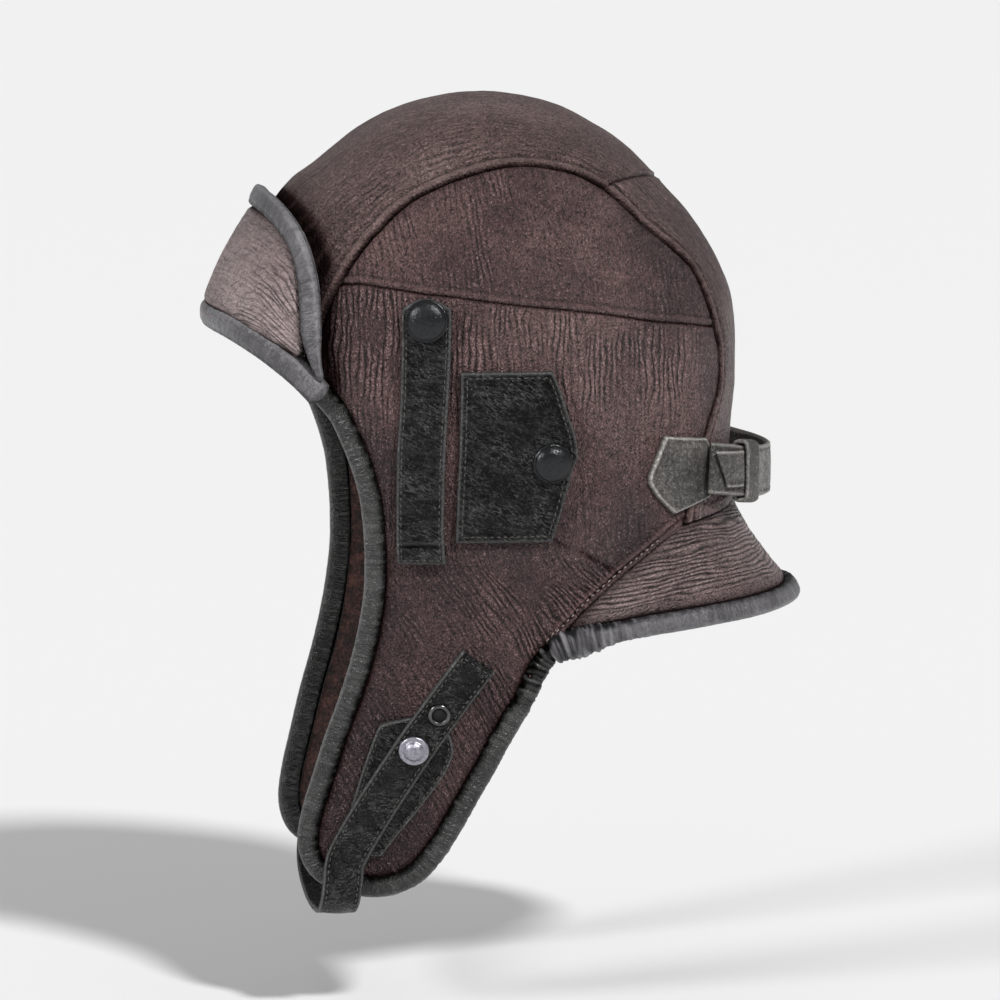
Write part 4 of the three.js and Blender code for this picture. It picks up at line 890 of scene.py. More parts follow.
def side_lower(flip, fine):
    T = even(lambda t: (lower_at(t, 0.2) + lower_at(t, 0.8)) / 2, 0, len(LOWER) - 1, 1.2 * fine)
    T = np.unique(np.concatenate([np.linspace(0, T[3], int(9 / fine)), T[3:]]))
    U = denser_ends(int(140 / fine), 0.42)
    P = lower_at(T[:, None], U[None, :], True)
    N = normal(P)
    y, z = P[..., 1], P[..., 2]
    ds, ss = distance(P, SIDE_LINE)
    da, sa = distance(P, ARC_LINE)
    dn, sn = distance(P, NECK_LINE)
    df, sf = distance(P, FACE_LINE)
    dd, sd = distance(P, DART_LINE)
    pucker = noise(np.stack([ss / 2.2, ds / 14, ss * 0 + 4], -1))
    h = -0.6 * np.exp(-(ds / 0.45) ** 2) + 0.24 * bump(ds, 1.7, 1.0) + 0.2 * pucker * np.exp(-(ds / 9) ** 2) * ease(ds / 1.5)
    h += tuck(da, sa)
    rim_pucker = noise(np.stack([sf / 2.1, df / 8, sf * 0 + 5], -1))
    h += -0.75 * np.exp(-((np.minimum(df, 4.2) - 4.2) / 1.0) ** 2) * np.exp(-(np.maximum(df - 4.2, 0) / 1.4) ** 2) + 0.3 * rim_pucker * np.exp(-((df - 4) / 6) ** 2)
    raised = ease((4.4 - dn) / 1.0)
    seam_wave = noise(np.stack([sn / 2.4, dn / 5, sn * 0 + 6], -1))
    h += (0.95 * raised - 0.55 * bump(dn, 2.1, 0.5) * (0.6 + 0.4 * np.cos(2 * np.pi * sn / 2.7))) * (z < -150) * ease((sn + 4) / 4)
    h += 0.16 * seam_wave * np.exp(-(dn / 7) ** 2)
    h += -0.6 * np.exp(-(dd / 0.5) ** 2) + 0.35 * bump(dd, 1.5, 0.9)
    # waves below the side seam, long creases on the flap, the corner's gathers
    band = ease((y + 44) / 14) * ease((88 - y) / 25) * ease((z + 132) / 30) * ease(ds / 3)
    warp = np.stack([(y + 2.2 * noise(P / 13 + 3)) / 2.9, z / 21, z * 0 + 1.5], -1)
    vertical = noise(warp) + 0.45 * noise(warp * [2.0, 1.6, 1] + 9)
    h += 0.34 * band * vertical
    front_band = ease((-36 - y) / 8) * ease((z + 190) / 60)
    h += 0.28 * front_band * streaks(P, 0, 3.6, 26, 2.5)
    low = ease((-168 - z) / 20)
    flap = low * ease((df - 2) / 5)
    h += 0.30 * flap * streaks(P, 28, 4.4, 24, 6.1) + 0.12 * flap * streaks(P, 60, 2.4, 10, 1.1)
    corner = np.hypot(y - 24, z + 214)
    spoke = np.degrees(np.arctan2(z + 214, y - 24))
    gathers = noise(np.stack([spoke / 11, corner / 26, corner * 0 + 2], -1))
    h += 0.6 * gathers * ease((44 - corner) / 30) * ease((corner - 2) / 8)
    fold = np.abs(((y - 7) * 0.86 + (z + 172) * 0.5) + 2.2 * noise(P / 16)) 
    h += -0.5 * np.exp(-(fold / 1.4) ** 2) * ease((-172 - z) / 8) * ease((z + 212) / 10)
    fold2 = np.abs(((y - 16) * 0.83 + (z + 178) * 0.55) + 2.5 * noise(P / 12 + 5))
    h += -0.4 * np.exp(-(fold2 / 1.2) ** 2) * ease((-176 - z) / 8) * ease((z + 214) / 12)
    h += 0.7 * noise(P / 38 + 4.4) * ease(da / 12) * ease(dn / 10) + 0.24 * spots(P, 13, 3.1) + 0.1 * spots(P, 4.2, 9.9)
    hide = np.stack([y, z * 0.7, P[..., 0] * 0.6 + 200], -1)
    lean = ease((-168 - z) / 30)
    folds = np.stack([y * (1 - 0.15 * lean) + 0.5 * (z + 168) * lean, z - 0.4 * y * lean, P[..., 0] * 0 + 20], -1)
    wave = np.clip(0.95 * band + 0.8 * front_band * ease((z + 150) / 60) + 0.22 * flap + 0.9 * ease((44 - corner) / 22) * low + 0.25, 0, 1) * ease(ds / 1.5)
    dv, _ = distance(P, VISOR_LINE)
    # painted shade: the visor's shadow, the seam, arc and dart hollows, a dark line at the binding's edge, the neck
    # seam's groove, and darker towards the flap's bottom
    shade = np.clip(0.98 * np.exp(-(dv / 9.5) ** 6) + 0.26 * np.exp(-(dv / 17) ** 4) + 0.7 * np.exp(-(ds / 0.6) ** 2) + 0.95 * np.exp(-(da / 0.8) ** 2) + 0.25 * np.exp(-(da / 4) ** 2)
                    + 0.9 * bump(df, 4.1, 0.9) + 0.25 * bump(df, 5.2, 2.2) + 0.6 * np.exp(-(dd / 0.6) ** 2) + 0.5 * bump(dn, 2.1, 0.6) + 0.25 * low, 0, 1)
    # wear and painted highlight on the ridges beside the neck seam and on the wave tops
    wear_and_highlight = np.clip(0.3 * bump(dn, 0.9, 0.6) + 0.3 * bump(dn, 3.4, 0.6) + 0.12 * band * vertical, 0, 0.6)
    outer = P + N * h[..., None]
    side = "R" if flip else "L"
    shell("side_panel_lower_" + side, outer, P - N * LEATHER, HIDE, ("side_lower_" + side,), flip, {"hide": hide, "shade": shade, "wear_and_highlight": wear_and_highlight, "folds": folds, "wave": wave})
    return Patch(T, U, outer, grid_normals(outer, N))


def upper_at(t, v):
    t, v = np.broadcast_arrays(np.asarray(t, float), np.asarray(v, float))
    a = arc_seam(by_index([r[0] for r in UPPER_PAIRS], t))
    by = by_index([r[1] for r in UPPER_PAIRS], t)
    bz = look(SIDE_SEAM, by)
    p = on_side(mix(a[..., 1], by, v), mix(a[..., 2], bz, v))
    return np.where((v <= 0)[..., None], a, p)


def side_upper(flip, fine):
    T = even(lambda t: upper_at(t, 0.5), 0, len(UPPER_PAIRS) - 1, 1.2 * fine)
    V = denser_ends(int(78 / fine), 0.5)
    P = upper_at(T[:, None], V[None, :])
    N = normal(P)
    y, z = P[..., 1], P[..., 2]
    ds, ss = distance(P, SIDE_LINE)
    da, sa = distance(P, ARC_LINE)
    h = tuck(da, sa, 1.15)
    pucker = noise(np.stack([ss / 2.2, ds / 10, ss * 0 + 4], -1))
    h += -0.6 * np.exp(-(ds / 0.45) ** 2) + 0.3 * bump(ds, 2.0, 1.1) - 0.22 * bump(ds, 3.7, 0.5) + 0.14 * pucker * np.exp(-(ds / 8) ** 2) * ease(ds / 1.5)
    h += -1.3 * np.exp(-(((y - 42) / 13) ** 2 + ((z + 62) / 8) ** 2)) + 0.7 * np.exp(-(((y - 36) / 12) ** 2 + ((z + 46) / 7) ** 2))
    h += 0.2 * streaks(P, 8, 3.0, 13, 2.2) * ease(da / 5) + 0.1 * spots(P, 3.6, 8.8) + 0.25 * spots(P, 15, 6.6) + 0.45 * noise(P / 34 + 1.1)
    hide = np.stack([y, z * 0.75, P[..., 0] * 0.6 + 100], -1)
    folds = np.stack([y + 0.12 * z, z, P[..., 0] * 0 + 30], -1)
    wave = np.clip(0.3 * ease((30 - y) / 40) + 0.18 + 0.35 * noise(P / 20), 0, 1) * ease(ds / 1.5) * ease(da / 2)
    dv, _ = distance(P, VISOR_LINE)
    # painted shade: the visor's shadow and the hollows of the arc and side seams
    shade = np.clip(0.98 * np.exp(-(dv / 9.5) ** 6) + 0.26 * np.exp(-(dv / 17) ** 4) + 0.98 * np.exp(-(da / 0.9) ** 2) + 0.3 * np.exp(-(da / 4) ** 2) + 0.7 * np.exp(-(ds / 0.6) ** 2) + 0.3 * bump(ds, 3.7, 0.5), 0, 1)
    # random lighter spots, and wear with painted highlight on the ridge beside the side seam
    wear_and_highlight = np.clip(0.1 * spots(P, 6, 2.2) + 0.22 * bump(ds, 2.0, 0.8), 0, 0.5)
    outer = P + N * h[..., None]
    side = "R" if flip else "L"
    shell("side_panel_upper_" + side, outer, P - N * LEATHER, HIDE, ("side_upper_" + side,), flip, {"hide": hide, "shade": shade, "wear_and_highlight": wear_and_highlight, "folds": folds, "wave": wave})
    return Patch(T, V, outer, grid_normals(outer, N))


lower_patch, upper_patch = side_lower(False, FINE), side_upper(False, FINE)
side_lower(True, 1.7 * FINE)
side_upper(True, 1.8 * FINE)


def neck_grid(K, rows):
    t = np.concatenate([K, K[:-1][::-1]])
    seam, low, flare = neck_half(t)
    side = np.where(np.arange(len(t)) < len(K), 1.0, -1.0)
    v = rows[None, :, None]
    P = seam[:, None, :] * (1 - v) + low[:, None, :] * v
    P[..., 1] -= NECK_SINK * 4 * rows[None, :] * (1 - rows[None, :]) * flare[:, None]
    P[..., 0] *= side[:, None]
    return P


def neck():
    K = even(lambda t: neck_half(t)[0] * 0.5 + neck_half(t)[1] * 0.5, 0, 11, 1.3 * FINE)
    V = denser_ends(int(50 / FINE), 0.25) * 1.075
    P = neck_grid(K, V)
    way = P.copy()
    way[..., 2], way[..., 1] = 0, way[..., 1] - 10
    N = grid_normals(P, way)
    d_top = np.linalg.norm(P - P[:, :1], axis=-1)
    d_low = np.maximum((1 - V)[None, :], 0) * np.linalg.norm(P[:, :1] - P[:, -1:], axis=-1) / V[-1]
    run = np.cumsum(np.concatenate([[0], np.linalg.norm(np.diff(P[:, 25], axis=0), axis=1)]))[:, None] + 0 * d_top
    total = run.max()
    h = -0.9 * np.exp(-(d_top / 1.0) ** 2) - 0.35 * np.exp(-(d_top / 4) ** 2) - 0.8 * np.exp(-(d_low / 1.4) ** 2)
    away = np.minimum(run, total - run)
    bend = d_top + 0.05 * away + 2.0 * noise(P / 17 + 2)
    w = noise(np.stack([bend / 1.75, run / 15, run * 0 + 2.2], -1)) + 0.5 * noise(np.stack([bend / 0.95, run / 9, run * 0 + 7.2], -1))
    mid = ease(d_top / 4) * ease((d_low - 2) / 6)
    h += 0.36 * w * mid * (0.55 + 0.45 * ease((110 - away) / 60)) + 0.5 * noise(P / 22 + 5)
    near_corner = ease((26 - away) / 20)
    h += 0.35 * near_corner * noise(np.stack([run / 2.2, d_top / 9, run * 0 + 9], -1)) * ease(d_top / 3)
    hide = np.stack([run * 0.6, d_top, run * 0 + 300], -1)
    folds = np.stack([d_low * 1.1 + 0.8 * noise(P / 15 + 4), run, run * 0 + 40], -1)
    wave = np.clip(mid * 1.0, 0, 1)
    # painted shade along the top seam and the low edge, and in the corner
    shade = np.clip(0.9 * np.exp(-(d_top / 1.2) ** 2) + 0.35 * np.exp(-(d_top / 6) ** 2) + 0.9 * np.exp(-(d_low / 0.9) ** 2) + 0.25 * np.exp(-(d_low / 3) ** 2) + 0.3 * near_corner, 0, 1)
    # painted highlight on the wave tops
    wear_and_highlight = np.clip(0.16 * w * mid, 0, 0.4)
    outer = P + N * h[..., None]
    shell("neck_guard", outer, P - N * LEATHER, HIDE_NECK, ("neck_flap",), attributes={"hide": hide, "shade": shade, "wear_and_highlight": wear_and_highlight, "folds": folds, "wave": wave})
    return P, N


neck_P, neck_N = neck()


# ---------------------------------------------------------------------------------------------------------------------
# Visor and bindings
# ---------------------------------------------------------------------------------------------------------------------
def mirrored(rows, signs):
    return [[v * k for v, k in zip(r, signs)] for r in rows[:0:-1]] + [list(r) for r in rows]


def visor():
    low, top = smooth(mirrored(VISOR_LOW, [-1, 1, 1]), 600)[0], smooth(mirrored(VISOR_TOP, [-1, 1, 1]), 600)[0]
    S = np.linspace(0.012, 0.988, int(230 / FINE) + 1)
    at = lambda c: np.stack([np.interp(S * 600, np.arange(601), c[:, k]) for k in range(3)], 1)
    a, b = at(low), at(top)
    V = denser_ends(int(54 / FINE), 0.3)
    out = unit(np.stack([a[:, 0] * 0.9, a[:, 1], a[:, 0] * 0 + 55], 1))
    tall = np.linalg.norm(a - b, axis=1)
    V = V * 1.14 - 0.08
    v = V[None, :, None]
    P = a[:, None] * (1 - v) + b[:, None] * v + out[:, None] * (VISOR_BULGE * 4 * V * (1 - V))[None, :, None] * np.minimum(1, tall / 30)[:, None, None]
    way = P.copy()
    way[..., 1] -= 10
    way[..., 2] = 0
    N = grid_normals(P, way)
    run = np.cumsum(np.concatenate([[0], np.linalg.norm(np.diff(P[:, len(V) // 2], axis=0), axis=1)]))[:, None] + 0 * P[..., 0]
    up = V[None, :] * tall[:, None]
    d_low, d_top = np.abs(up), np.abs(tall[:, None] - up)
    h = -0.7 * np.exp(-(d_low / 1.6) ** 2) - 0.8 * np.exp(-(d_top / 1.4) ** 2)
    h += 0.25 * noise(np.stack([run / 3.1, d_low / 12, run * 0 + 1], -1)) * np.exp(-(d_low / 9) ** 2)
    h += 0.2 * noise(np.stack([run / 2.8, d_top / 10, run * 0 + 4], -1)) * np.exp(-(d_top / 7) ** 2)
    ends = np.minimum(run, run.max() - run)      # folds that fan out of the temple corner
    spoke = np.degrees(np.arctan2(up + 4, ends + 4))
    far = np.hypot(up + 4, ends + 4)
    fan = noise(np.stack([spoke / 7.5 + 1.2 * noise(P / 12), far / 22, run * 0 + 6], -1))
    h += 0.5 * fan * ease((62 - far) / 40) * ease((far - 8) / 12) * ease((spoke - 12) / 10)
    flat = noise(np.stack([run / 11 + 0.5 * noise(P / 9), up / 1.9, run * 0 + 3], -1))
    h += 0.10 * flat * ease(d_low / 5) * ease(d_top / 5) + 0.6 * noise(P / 24 + 7) + 0.08 * spots(P, 3.6, 1.7)
    hide = np.stack([run * 0.5, up, run * 0 + 400], -1)
    folds = np.stack([up + 0.9 * np.minimum(far, 40) * (spoke / 60 - 0.5) * ease((50 - far) / 30), run, run * 0 + 50], -1)
    wave = np.clip(0.3 + 0.7 * ease((60 - far) / 30), 0, 1)
    # painted shade along both bound edges
    shade = np.clip(0.92 * np.exp(-(np.minimum(d_low, d_top) / 0.9) ** 2) + 0.25 * np.exp(-(np.minimum(d_low, d_top) / 3) ** 2), 0, 1)
    # painted highlight on the tops of the fan folds and flat waves
    wear_and_highlight = np.clip(0.14 * fan + 0.05 * flat, 0, 0.4)
    outer = P + N * h[..., None]
    shell("visor_flap", outer, P - N * 2.8, HIDE_VISOR, ("visor",), attributes={"hide": hide, "shade": shade, "wear_and_highlight": wear_and_highlight, "folds": folds, "wave": wave})
    return Patch(S, V, outer, N)


visor_patch = visor()


def frames(points, across, out):
    t = unit(np.gradient(points, axis=0))
    across = unit(across - t * (across * t).sum(1, keepdims=True))
    o = np.cross(t, across)
    o *= np.sign((o * out).sum(1, keepdims=True))
    return t, across, unit(o)


def binding(name, points, across, out, w, t, material, node, flip=False, pucker=0.14, corner=None, square=0.72, seed=0.0, thin=0.0, grow=0.0, line=0.22):
    """A folded strip round an edge: an oval section with small cross gathers, painted highlights on the gather tops and
    along the outer fold, and painted shade on its inner side and in the corner's gathers.
    """
    tan, across, out = frames(points, across, out)
    run = np.concatenate([[0], np.cumsum(np.linalg.norm(np.diff(points, axis=0), axis=1))])
    m = 30
    th = np.arange(m) * 2 * np.pi / m
    c, sn = np.cos(th), np.sin(th)
    a = w / 2 * np.sign(c) * np.abs(c) ** square
    o = t / 2 * np.sign(sn) * np.abs(sn) ** square
    near = 0 * run
    amp = pucker(run / run[-1]) if callable(pucker) else np.full(len(points), pucker)
    if corner is not None:
        where, reach_, extra = corner
        near = ease((reach_ - np.linalg.norm(points - np.asarray(where), axis=1)) / reach_)
        amp = amp + extra * near
    R, TH = np.meshgrid(run, th, indexing="ij")
    q = np.stack([R / 1.7, np.cos(TH) * 0.7, np.sin(TH) * 0.7 + seed], -1)
    gather = noise(q) + 0.4 * noise(q * [2.2, 1, 1] + 4)
    lump = noise(np.stack([R / 13, np.cos(TH) * 0.5 + seed, np.sin(TH) * 0.5], -1))
    k = 1 + (amp[:, None] * gather + 0.05 * lump) / (0.5 * (w + t) / 2)
    taper = np.minimum(1, np.sqrt(np.minimum(run, run[-1] - run) / 2.2 + 0.06))[:, None]
    if thin:
        taper = taper * (1 - thin * ease((24 - np.minimum(run, run[-1] - run)) / 24))[:, None]
    if grow:
        taper = taper * (1 + grow * ease((26 - np.linalg.norm(points * [-1, 1, 1] - np.asarray(corner[0]), axis=1)) / 18)
                         + grow * ease((26 - np.linalg.norm(points - np.asarray(corner[0]), axis=1)) / 18))[:, None]
    # the flat top carries a shallow stitch channel near its inner side
    channel = 0.28 * np.exp(-((a[None, :] + w * 0.30) / 0.55) ** 2) * (sn[None, :] > 0)
    V = (points[:, None] + across[:, None] * (a[None, :] * k * taper)[..., None] + out[:, None] * ((o[None, :] - channel) * k * taper)[..., None])
    # painted highlight on the gather tops and a painted highlight line along the outer fold
    wear_and_highlight = np.clip((0.16 + 0.3 * near[:, None]) * gather + line * np.exp(-((a[None, :] - w * 0.44) / (w * 0.09)) ** 2) * (sn[None, :] > -0.3), 0, 0.6)
    # painted shade in the corner's gathers, along the inner side next to the panel and in the stitch channel
    shade = np.clip(near[:, None] * (0.42 - 0.5 * gather) + 0.75 * np.exp(-((a[None, :] + w * 0.5) / (w * 0.14)) ** 2) + 0.25 * np.exp(-((a[None, :] + w * 0.30) / 0.5) ** 2) * (sn[None, :] > 0) - 0.12 * gather + 0 * R, 0, 1)
    hide = np.stack([R, TH * t * 0.6, R * 0 + 500], -1)
    wave = np.clip(0.3 + 1.2 * (amp[:, None] - 0.1) + 0.45 * noise(np.stack([R / 16, R * 0 + seed, R * 0], -1)), 0.12, 1)
    tube(name, V, material, (node,), flip, {"wear_and_highlight": wear_and_highlight, "shade": shade, "hide": hide, "folds": hide, "wave": wave})
    return V, tan, across, out


STEP = 0.65 * FINE
edge_rows = np.array([[-73.6, -110.4, -0.6, -0.8]] + EDGE + [[22.6, -215.2, 0.45, -0.89]])
fine_edge, edge_key = smooth(np.concatenate([on_side(edge_rows[:, 0], edge_rows[:, 1]), edge_rows[:, 2:]], 1), int(460 / STEP))
edge_n = normal(fine_edge[:, :3])
edge_mid = fine_edge[:, :3] - edge_n * 1.75
turn = unit(fine_edge[:, 3:])
edge_across = on_side(fine_edge[:, 1] + turn[:, 0], fine_edge[:, 2] + turn[:, 1]) - on_side(fine_edge[:, 1], fine_edge[:, 2])
for flip in BOTH:
    # line=0.42: a stronger painted highlight line along the face edge's outer fold
    binding("face_edge_binding_" + ("R" if flip else "L"), edge_mid, edge_across, edge_n, 8.6, 5.8, BINDING_DARK,
            "edge_binding_" + ("R" if flip else "L"), flip, lambda q: 0.06 + 0.12 * ease((q - 0.6) / 0.1), ((75, 17, -220), 34, 0.5), 0.62, 1.0, line=0.42)

neck_rows = mirrored(NECK_EDGE[::-1] + [[74.6, 19.6, -217.2, 0, 0.6, -0.8]], [-1, 1, 1, -1, 1, 1])
low_edge, _ = smooth(neck_rows, int(330 / STEP))
binding("neck_edge_binding", low_edge[:, :3], low_edge[:, 3:], low_edge[:, :3] * [1, 1, 0], 8.2, 5.8, BINDING, "neck_binding",
        pucker=0.09, corner=((75, 24, -214), 42, 0.75), square=0.62, seed=2.0, grow=0.50)
top_edge, _ = smooth(mirrored(VISOR_EDGE, [-1, 1, 1, -1, 1, 1]), int(270 / STEP))
binding("visor_edge_binding", top_edge[:, :3], top_edge[:, 3:], top_edge[:, :3] * [1, 1, 0] + [0, 0, 50], 8.6, 5.4, BINDING, "visor_binding",
        pucker=0.06, square=0.6, seed=3.0, thin=0.62)
brow_edge, _ = smooth(mirrored(BROW, [-1, 1, 1]), int(220 / STEP))
binding("brow_fold_binding", brow_edge + [0, 0, 1.0], np.tile([0.0, 0, 1], (len(brow_edge), 1)), brow_edge * [1, 1, 0], 10.4, 8.8, BINDING, "brow_binding",
        pucker=0.06, square=0.76, seed=4.0)


# ---------------------------------------------------------------------------------------------------------------------
# Black pieces sewn on the head
# ---------------------------------------------------------------------------------------------------------------------
def applied(name, front, back, nv, nw, thick, base, radius, extra, material, replaces, flip):
    """A flat piece lying on the head between two edge lines: rounded rim, stitched channel, filled middle."""
    V, W = np.linspace(0, 1, nv + 1), np.linspace(0, 1, nw + 1)
    f, b = front(V), back(V)
    y = mix(f[:, None, 0], b[:, None, 0], W[None])
    z = mix(f[:, None, 1], b[:, None, 1], W[None])
    P = on_side(y, z)
    N = normal(P)
    rim = np.concatenate([P[:, 0], P[-1], P[::-1, -1], P[0, ::-1]])
    d, s = distance(P, rim)
    r = np.minimum(d, radius)
    h = base + thick - radius + np.sqrt(np.maximum(radius ** 2 - (radius - r) ** 2, 0))
    more, wear_and_highlight, shade = extra(d, s, P, V[:, None] + 0 * d, W[None, :] + 0 * d)
    h = h + more
    outer = P + N * h[..., None]
    hide = P * 1.0
    shell(name, outer, P + N * (base - 0.35), material, replaces, flip, {"hide": hide, "wear_and_highlight": wear_and_highlight, "shade": shade, "folds": P[..., [1, 2, 0]] * [1, 1, 0.3]})
    return Patch(V, W, outer, grid_normals(outer, N))


def table_line(table, column, lo=None, hi=None):
    z0, z1 = table[0][0], table[-1][0]

    def at(v):
        z = mix(z0, z1, np.asarray(v, float))
        return np.stack([look([[r[0], r[column]] for r in table], z), z], -1)
    return at


def pair_line(table, key):
    def at(v):
        t = np.asarray(v, float) * (len(table) - 1)
        return np.stack([by_index([r[key][0] for r in table], t), by_index([r[key][1] for r in table], t)], -1)
    return at


def rim_look(d, s, at=1.9, depth=0.34, bead=0.16):
    stitch = 0.5 + 0.5 * np.cos(2 * np.pi * s / 2.6)
    h = -depth * (0.65 + 0.35 * stitch) * bump(d, at, 0.48) + bead * bump(d, 0.75, 0.4)
    # wear and painted highlight along the rounded rim, a little in the stitch channel
    wear_and_highlight = 0.95 * bump(d, 0.55, 0.46) + 0.1 * bump(d, at, 0.5)
    return h, wear_and_highlight


def keeper(d, s, P, V, W):
    h, wear_and_highlight = rim_look(d, s)
    cross = noise(np.stack([P[..., 2] / 2.6, P[..., 1] / 16, P[..., 0] * 0 + 2], -1))
    h = h + 0.45 * (1 - np.exp(-(d / 3.2) ** 2)) + 0.16 * cross * ease(d / 2) + 0.25 * noise(P / 9)
    end = (1 - V) * 106
    h = h + 1.0 * np.exp(-((end - 3.2) / 3.4) ** 2) * ease(d / 0.8) - 0.7 * bump(end, 8.2, 0.8) * ease((W * 20 - 0) / 1.0)
    # wear and painted highlight on crease tops and along the fold ridge; painted shade in the groove before the fold
    wear_and_highlight = np.clip(wear_and_highlight + 0.14 * cross * ease(d / 2) + 0.35 * bump(end, 8.8, 0.7), 0, 0.9)
    shade = np.clip(0.8 * bump(end, 7.6, 0.9), 0, 1)
    return h, wear_and_highlight, shade


def ear(d, s, P, V, W):
    h, wear_and_highlight = rim_look(d, s, 2.6, 0.36, 0.2)
    y, z = P[..., 1], P[..., 2]
    puff = 1.0 * (1 - np.exp(-(np.maximum(d - 2.6, 0) / 7) ** 2))
    spread = np.degrees(np.arctan2(z + 138.8, y - 18.6))
    far = np.hypot(z + 138.8, y - 18.6)
    rays = noise(np.stack([spread / 16, far / 22, far * 0 + 3], -1)) * ease((far - 7) / 8) * ease((40 - far) / 20)
    cre = streaks(P, 62, 3.2, 13, 4.4)
    h = h + puff + (0.24 * cre + 0.3 * rays + 0.5 * noise(P / 15 + 3)) * ease((d - 2.6) / 3)
    sn = -0.75 * np.exp(-(np.maximum(far - 7.5, 0) / 3.5) ** 2)
    h = h + sn
    # wear and painted highlight on the creases, less on one half; painted shade beside the stitch channel
    wear_and_highlight = np.clip(wear_and_highlight * np.where(V < 0.5, 1.0, 0.8) + 0.12 * cre * ease(d / 3), 0, 0.9)
    return h, wear_and_highlight, np.clip(0.3 * bump(d, 3.6, 0.9), 0, 1)


def tab(d, s, P, V, W):
    h, wear_and_highlight = rim_look(d, s, 2.0, 0.36, 0.22)
    cre = streaks(P, 40, 3.0, 12, 6.0)
    h = h + 0.3 * (1 - np.exp(-(np.maximum(d - 2.0, 0) / 3) ** 2)) + 0.16 * cre * ease(d / 2) + 0.2 * noise(P / 9)
    # wear and painted highlight on the creases; painted shade in the stitch channel
    return h, np.clip(wear_and_highlight + 0.1 * cre, 0, 0.9), np.clip(0.25 * bump(d, 2.0, 0.6), 0, 1)


patches = {}
for flip in BOTH:
    k = "R" if flip else "L"
    g = FINE * (1.9 if flip else 1.0)
    patches["goggle" + k] = applied("goggle_keeper_" + k, table_line(GOGGLE, 1), table_line(GOGGLE, 2), int(200 / g), int(40 / g), 2.9, 0.5, 1.1, keeper, BLACK, ("goggle_strap_" + k,), flip)
    patches["ear" + k] = applied("ear_pocket_" + k, table_line(EAR_COVER, 1), table_line(EAR_COVER, 2), int(122 / g), int(82 / g), 2.3, 0.5, 1.0, ear, BLACK, ("ear_cover_" + k,), flip)
    patches["chin" + k] = applied("chin_strap_tab_" + k, table_line(CHIN_TAB, 1), table_line(CHIN_TAB, 2), int(120 / g), int(60 / g), 1.9, 0.4, 0.9, tab, BLACK, ("chin_tab_" + k,), flip)
    patches["back" + k] = applied("nape_tab_" + k, pair_line(BACK_TAB, 0), pair_line(BACK_TAB, 1), int(60 / g), int(56 / g), 1.9, 0.4, 0.9, tab, TAB, ("back_tab_" + k,), flip)


# ---------------------------------------------------------------------------------------------------------------------
# Straps
# ---------------------------------------------------------------------------------------------------------------------
def ribbon(name, rows, width, thick, material, replaces, step=0.85, square=0.22, wave=0.12, seed=0.0, ends="round", bulge=0.25, channel=2.1, slant=0.0):
    """A flat strap along points with their facing: rows are x, y, z, nx, ny, nz."""
    count = int(length_of(smooth(rows, 400)[0][:, :3]) / (step * FINE))
    c, key = smooth(rows, count)
    at, facing = c[:, :3], unit(c[:, 3:])
    t = unit(np.gradient(at, axis=0))
    across = unit(np.cross(facing, t))
    out = unit(np.cross(t, across))
    run = np.concatenate([[0], np.cumsum(np.linalg.norm(np.diff(at, axis=0), axis=1))])
    n_side = 26
    w = np.linspace(-1, 1, n_side + 1)
    corner = np.minimum(1, (1 - np.abs(w)) * width / 2 / 0.9)
    profile = np.sqrt(np.maximum(1 - (1 - corner) ** 2, 0))
    R = run[:, None] + 0 * w[None]
    d = (1 - np.abs(w))[None] * width / 2 + 0 * R
    stitch = 0.5 + 0.5 * np.cos(2 * np.pi * R / 2.7)
    cr = noise(np.stack([R / 3.0, w[None] * 1.2 + 0 * R, R * 0 + seed], -1))
    slow = noise(np.stack([R / 19, w[None] * 0.8 + 0 * R, R * 0 + seed + 5], -1))
    face = thick / 2 * profile[None] + bulge * (1 - np.exp(-(np.maximum(d - channel, 0) / 3) ** 2)) - 0.3 * (0.6 + 0.4 * stitch) * bump(d, channel, 0.45) + wave * cr * ease(d / 2)
    end = np.minimum(run, run[-1] - run)
    taper = np.sqrt(np.clip(end / 0.9, 0.0, 1) * (2 - np.clip(end / 0.9, 0.0, 1)))[:, None] * 0.9 + 0.1
    top = at[:, None] + across[:, None] * (w * width / 2)[None, :, None] + out[:, None] * (face * taper + 0.3 * slow)[..., None]
    low = at[:, None] + across[:, None] * (w * width / 2)[None, :, None] + out[:, None] * (-thick / 2 * profile[None] * taper + 0.3 * slow)[..., None]
    if slant:      # the last end runs off at an angle
        push = t[:, None] * (slant * w[None] * ease((run - run[-1] + 9) / 9)[:, None])[..., None] * (1 if across[-1, 2] > 0 else -1)
        top, low = top + push, low + push
    ring = np.concatenate([top, low[:, -2:0:-1]], 1)
    # wear and painted highlight along the rims; painted shade in the stitch channel
    wear_and_highlight_top = np.clip(0.85 * bump(d, 0.55, 0.45) + 0.08 * cr, 0, 0.9)
    shade_top = 0.3 * bump(d, channel, 0.55)
    pad = lambda v: np.concatenate([v, v[:, -2:0:-1] * 0.5], 1)
    hide = np.concatenate([np.stack([w[None] * width / 2 + 0 * R, R, R * 0 + 600 + seed * 30], -1), np.stack([w[None] * width / 2 + 0 * R, R, R * 0 + 640 + seed * 30], -1)[:, -2:0:-1]], 1)
    tube(name, ring, material, replaces, False, {"wear_and_highlight": pad(wear_and_highlight_top), "shade": pad(shade_top), "hide": hide, "folds": hide})
    return Patch(run, w, top, np.repeat(out[:, None], n_side + 1, 1))


def flap_point(row):
    y, z, stand = row
    p = on_side(y, z)
    n = normal(p)
    return np.concatenate([p + n * stand, n])


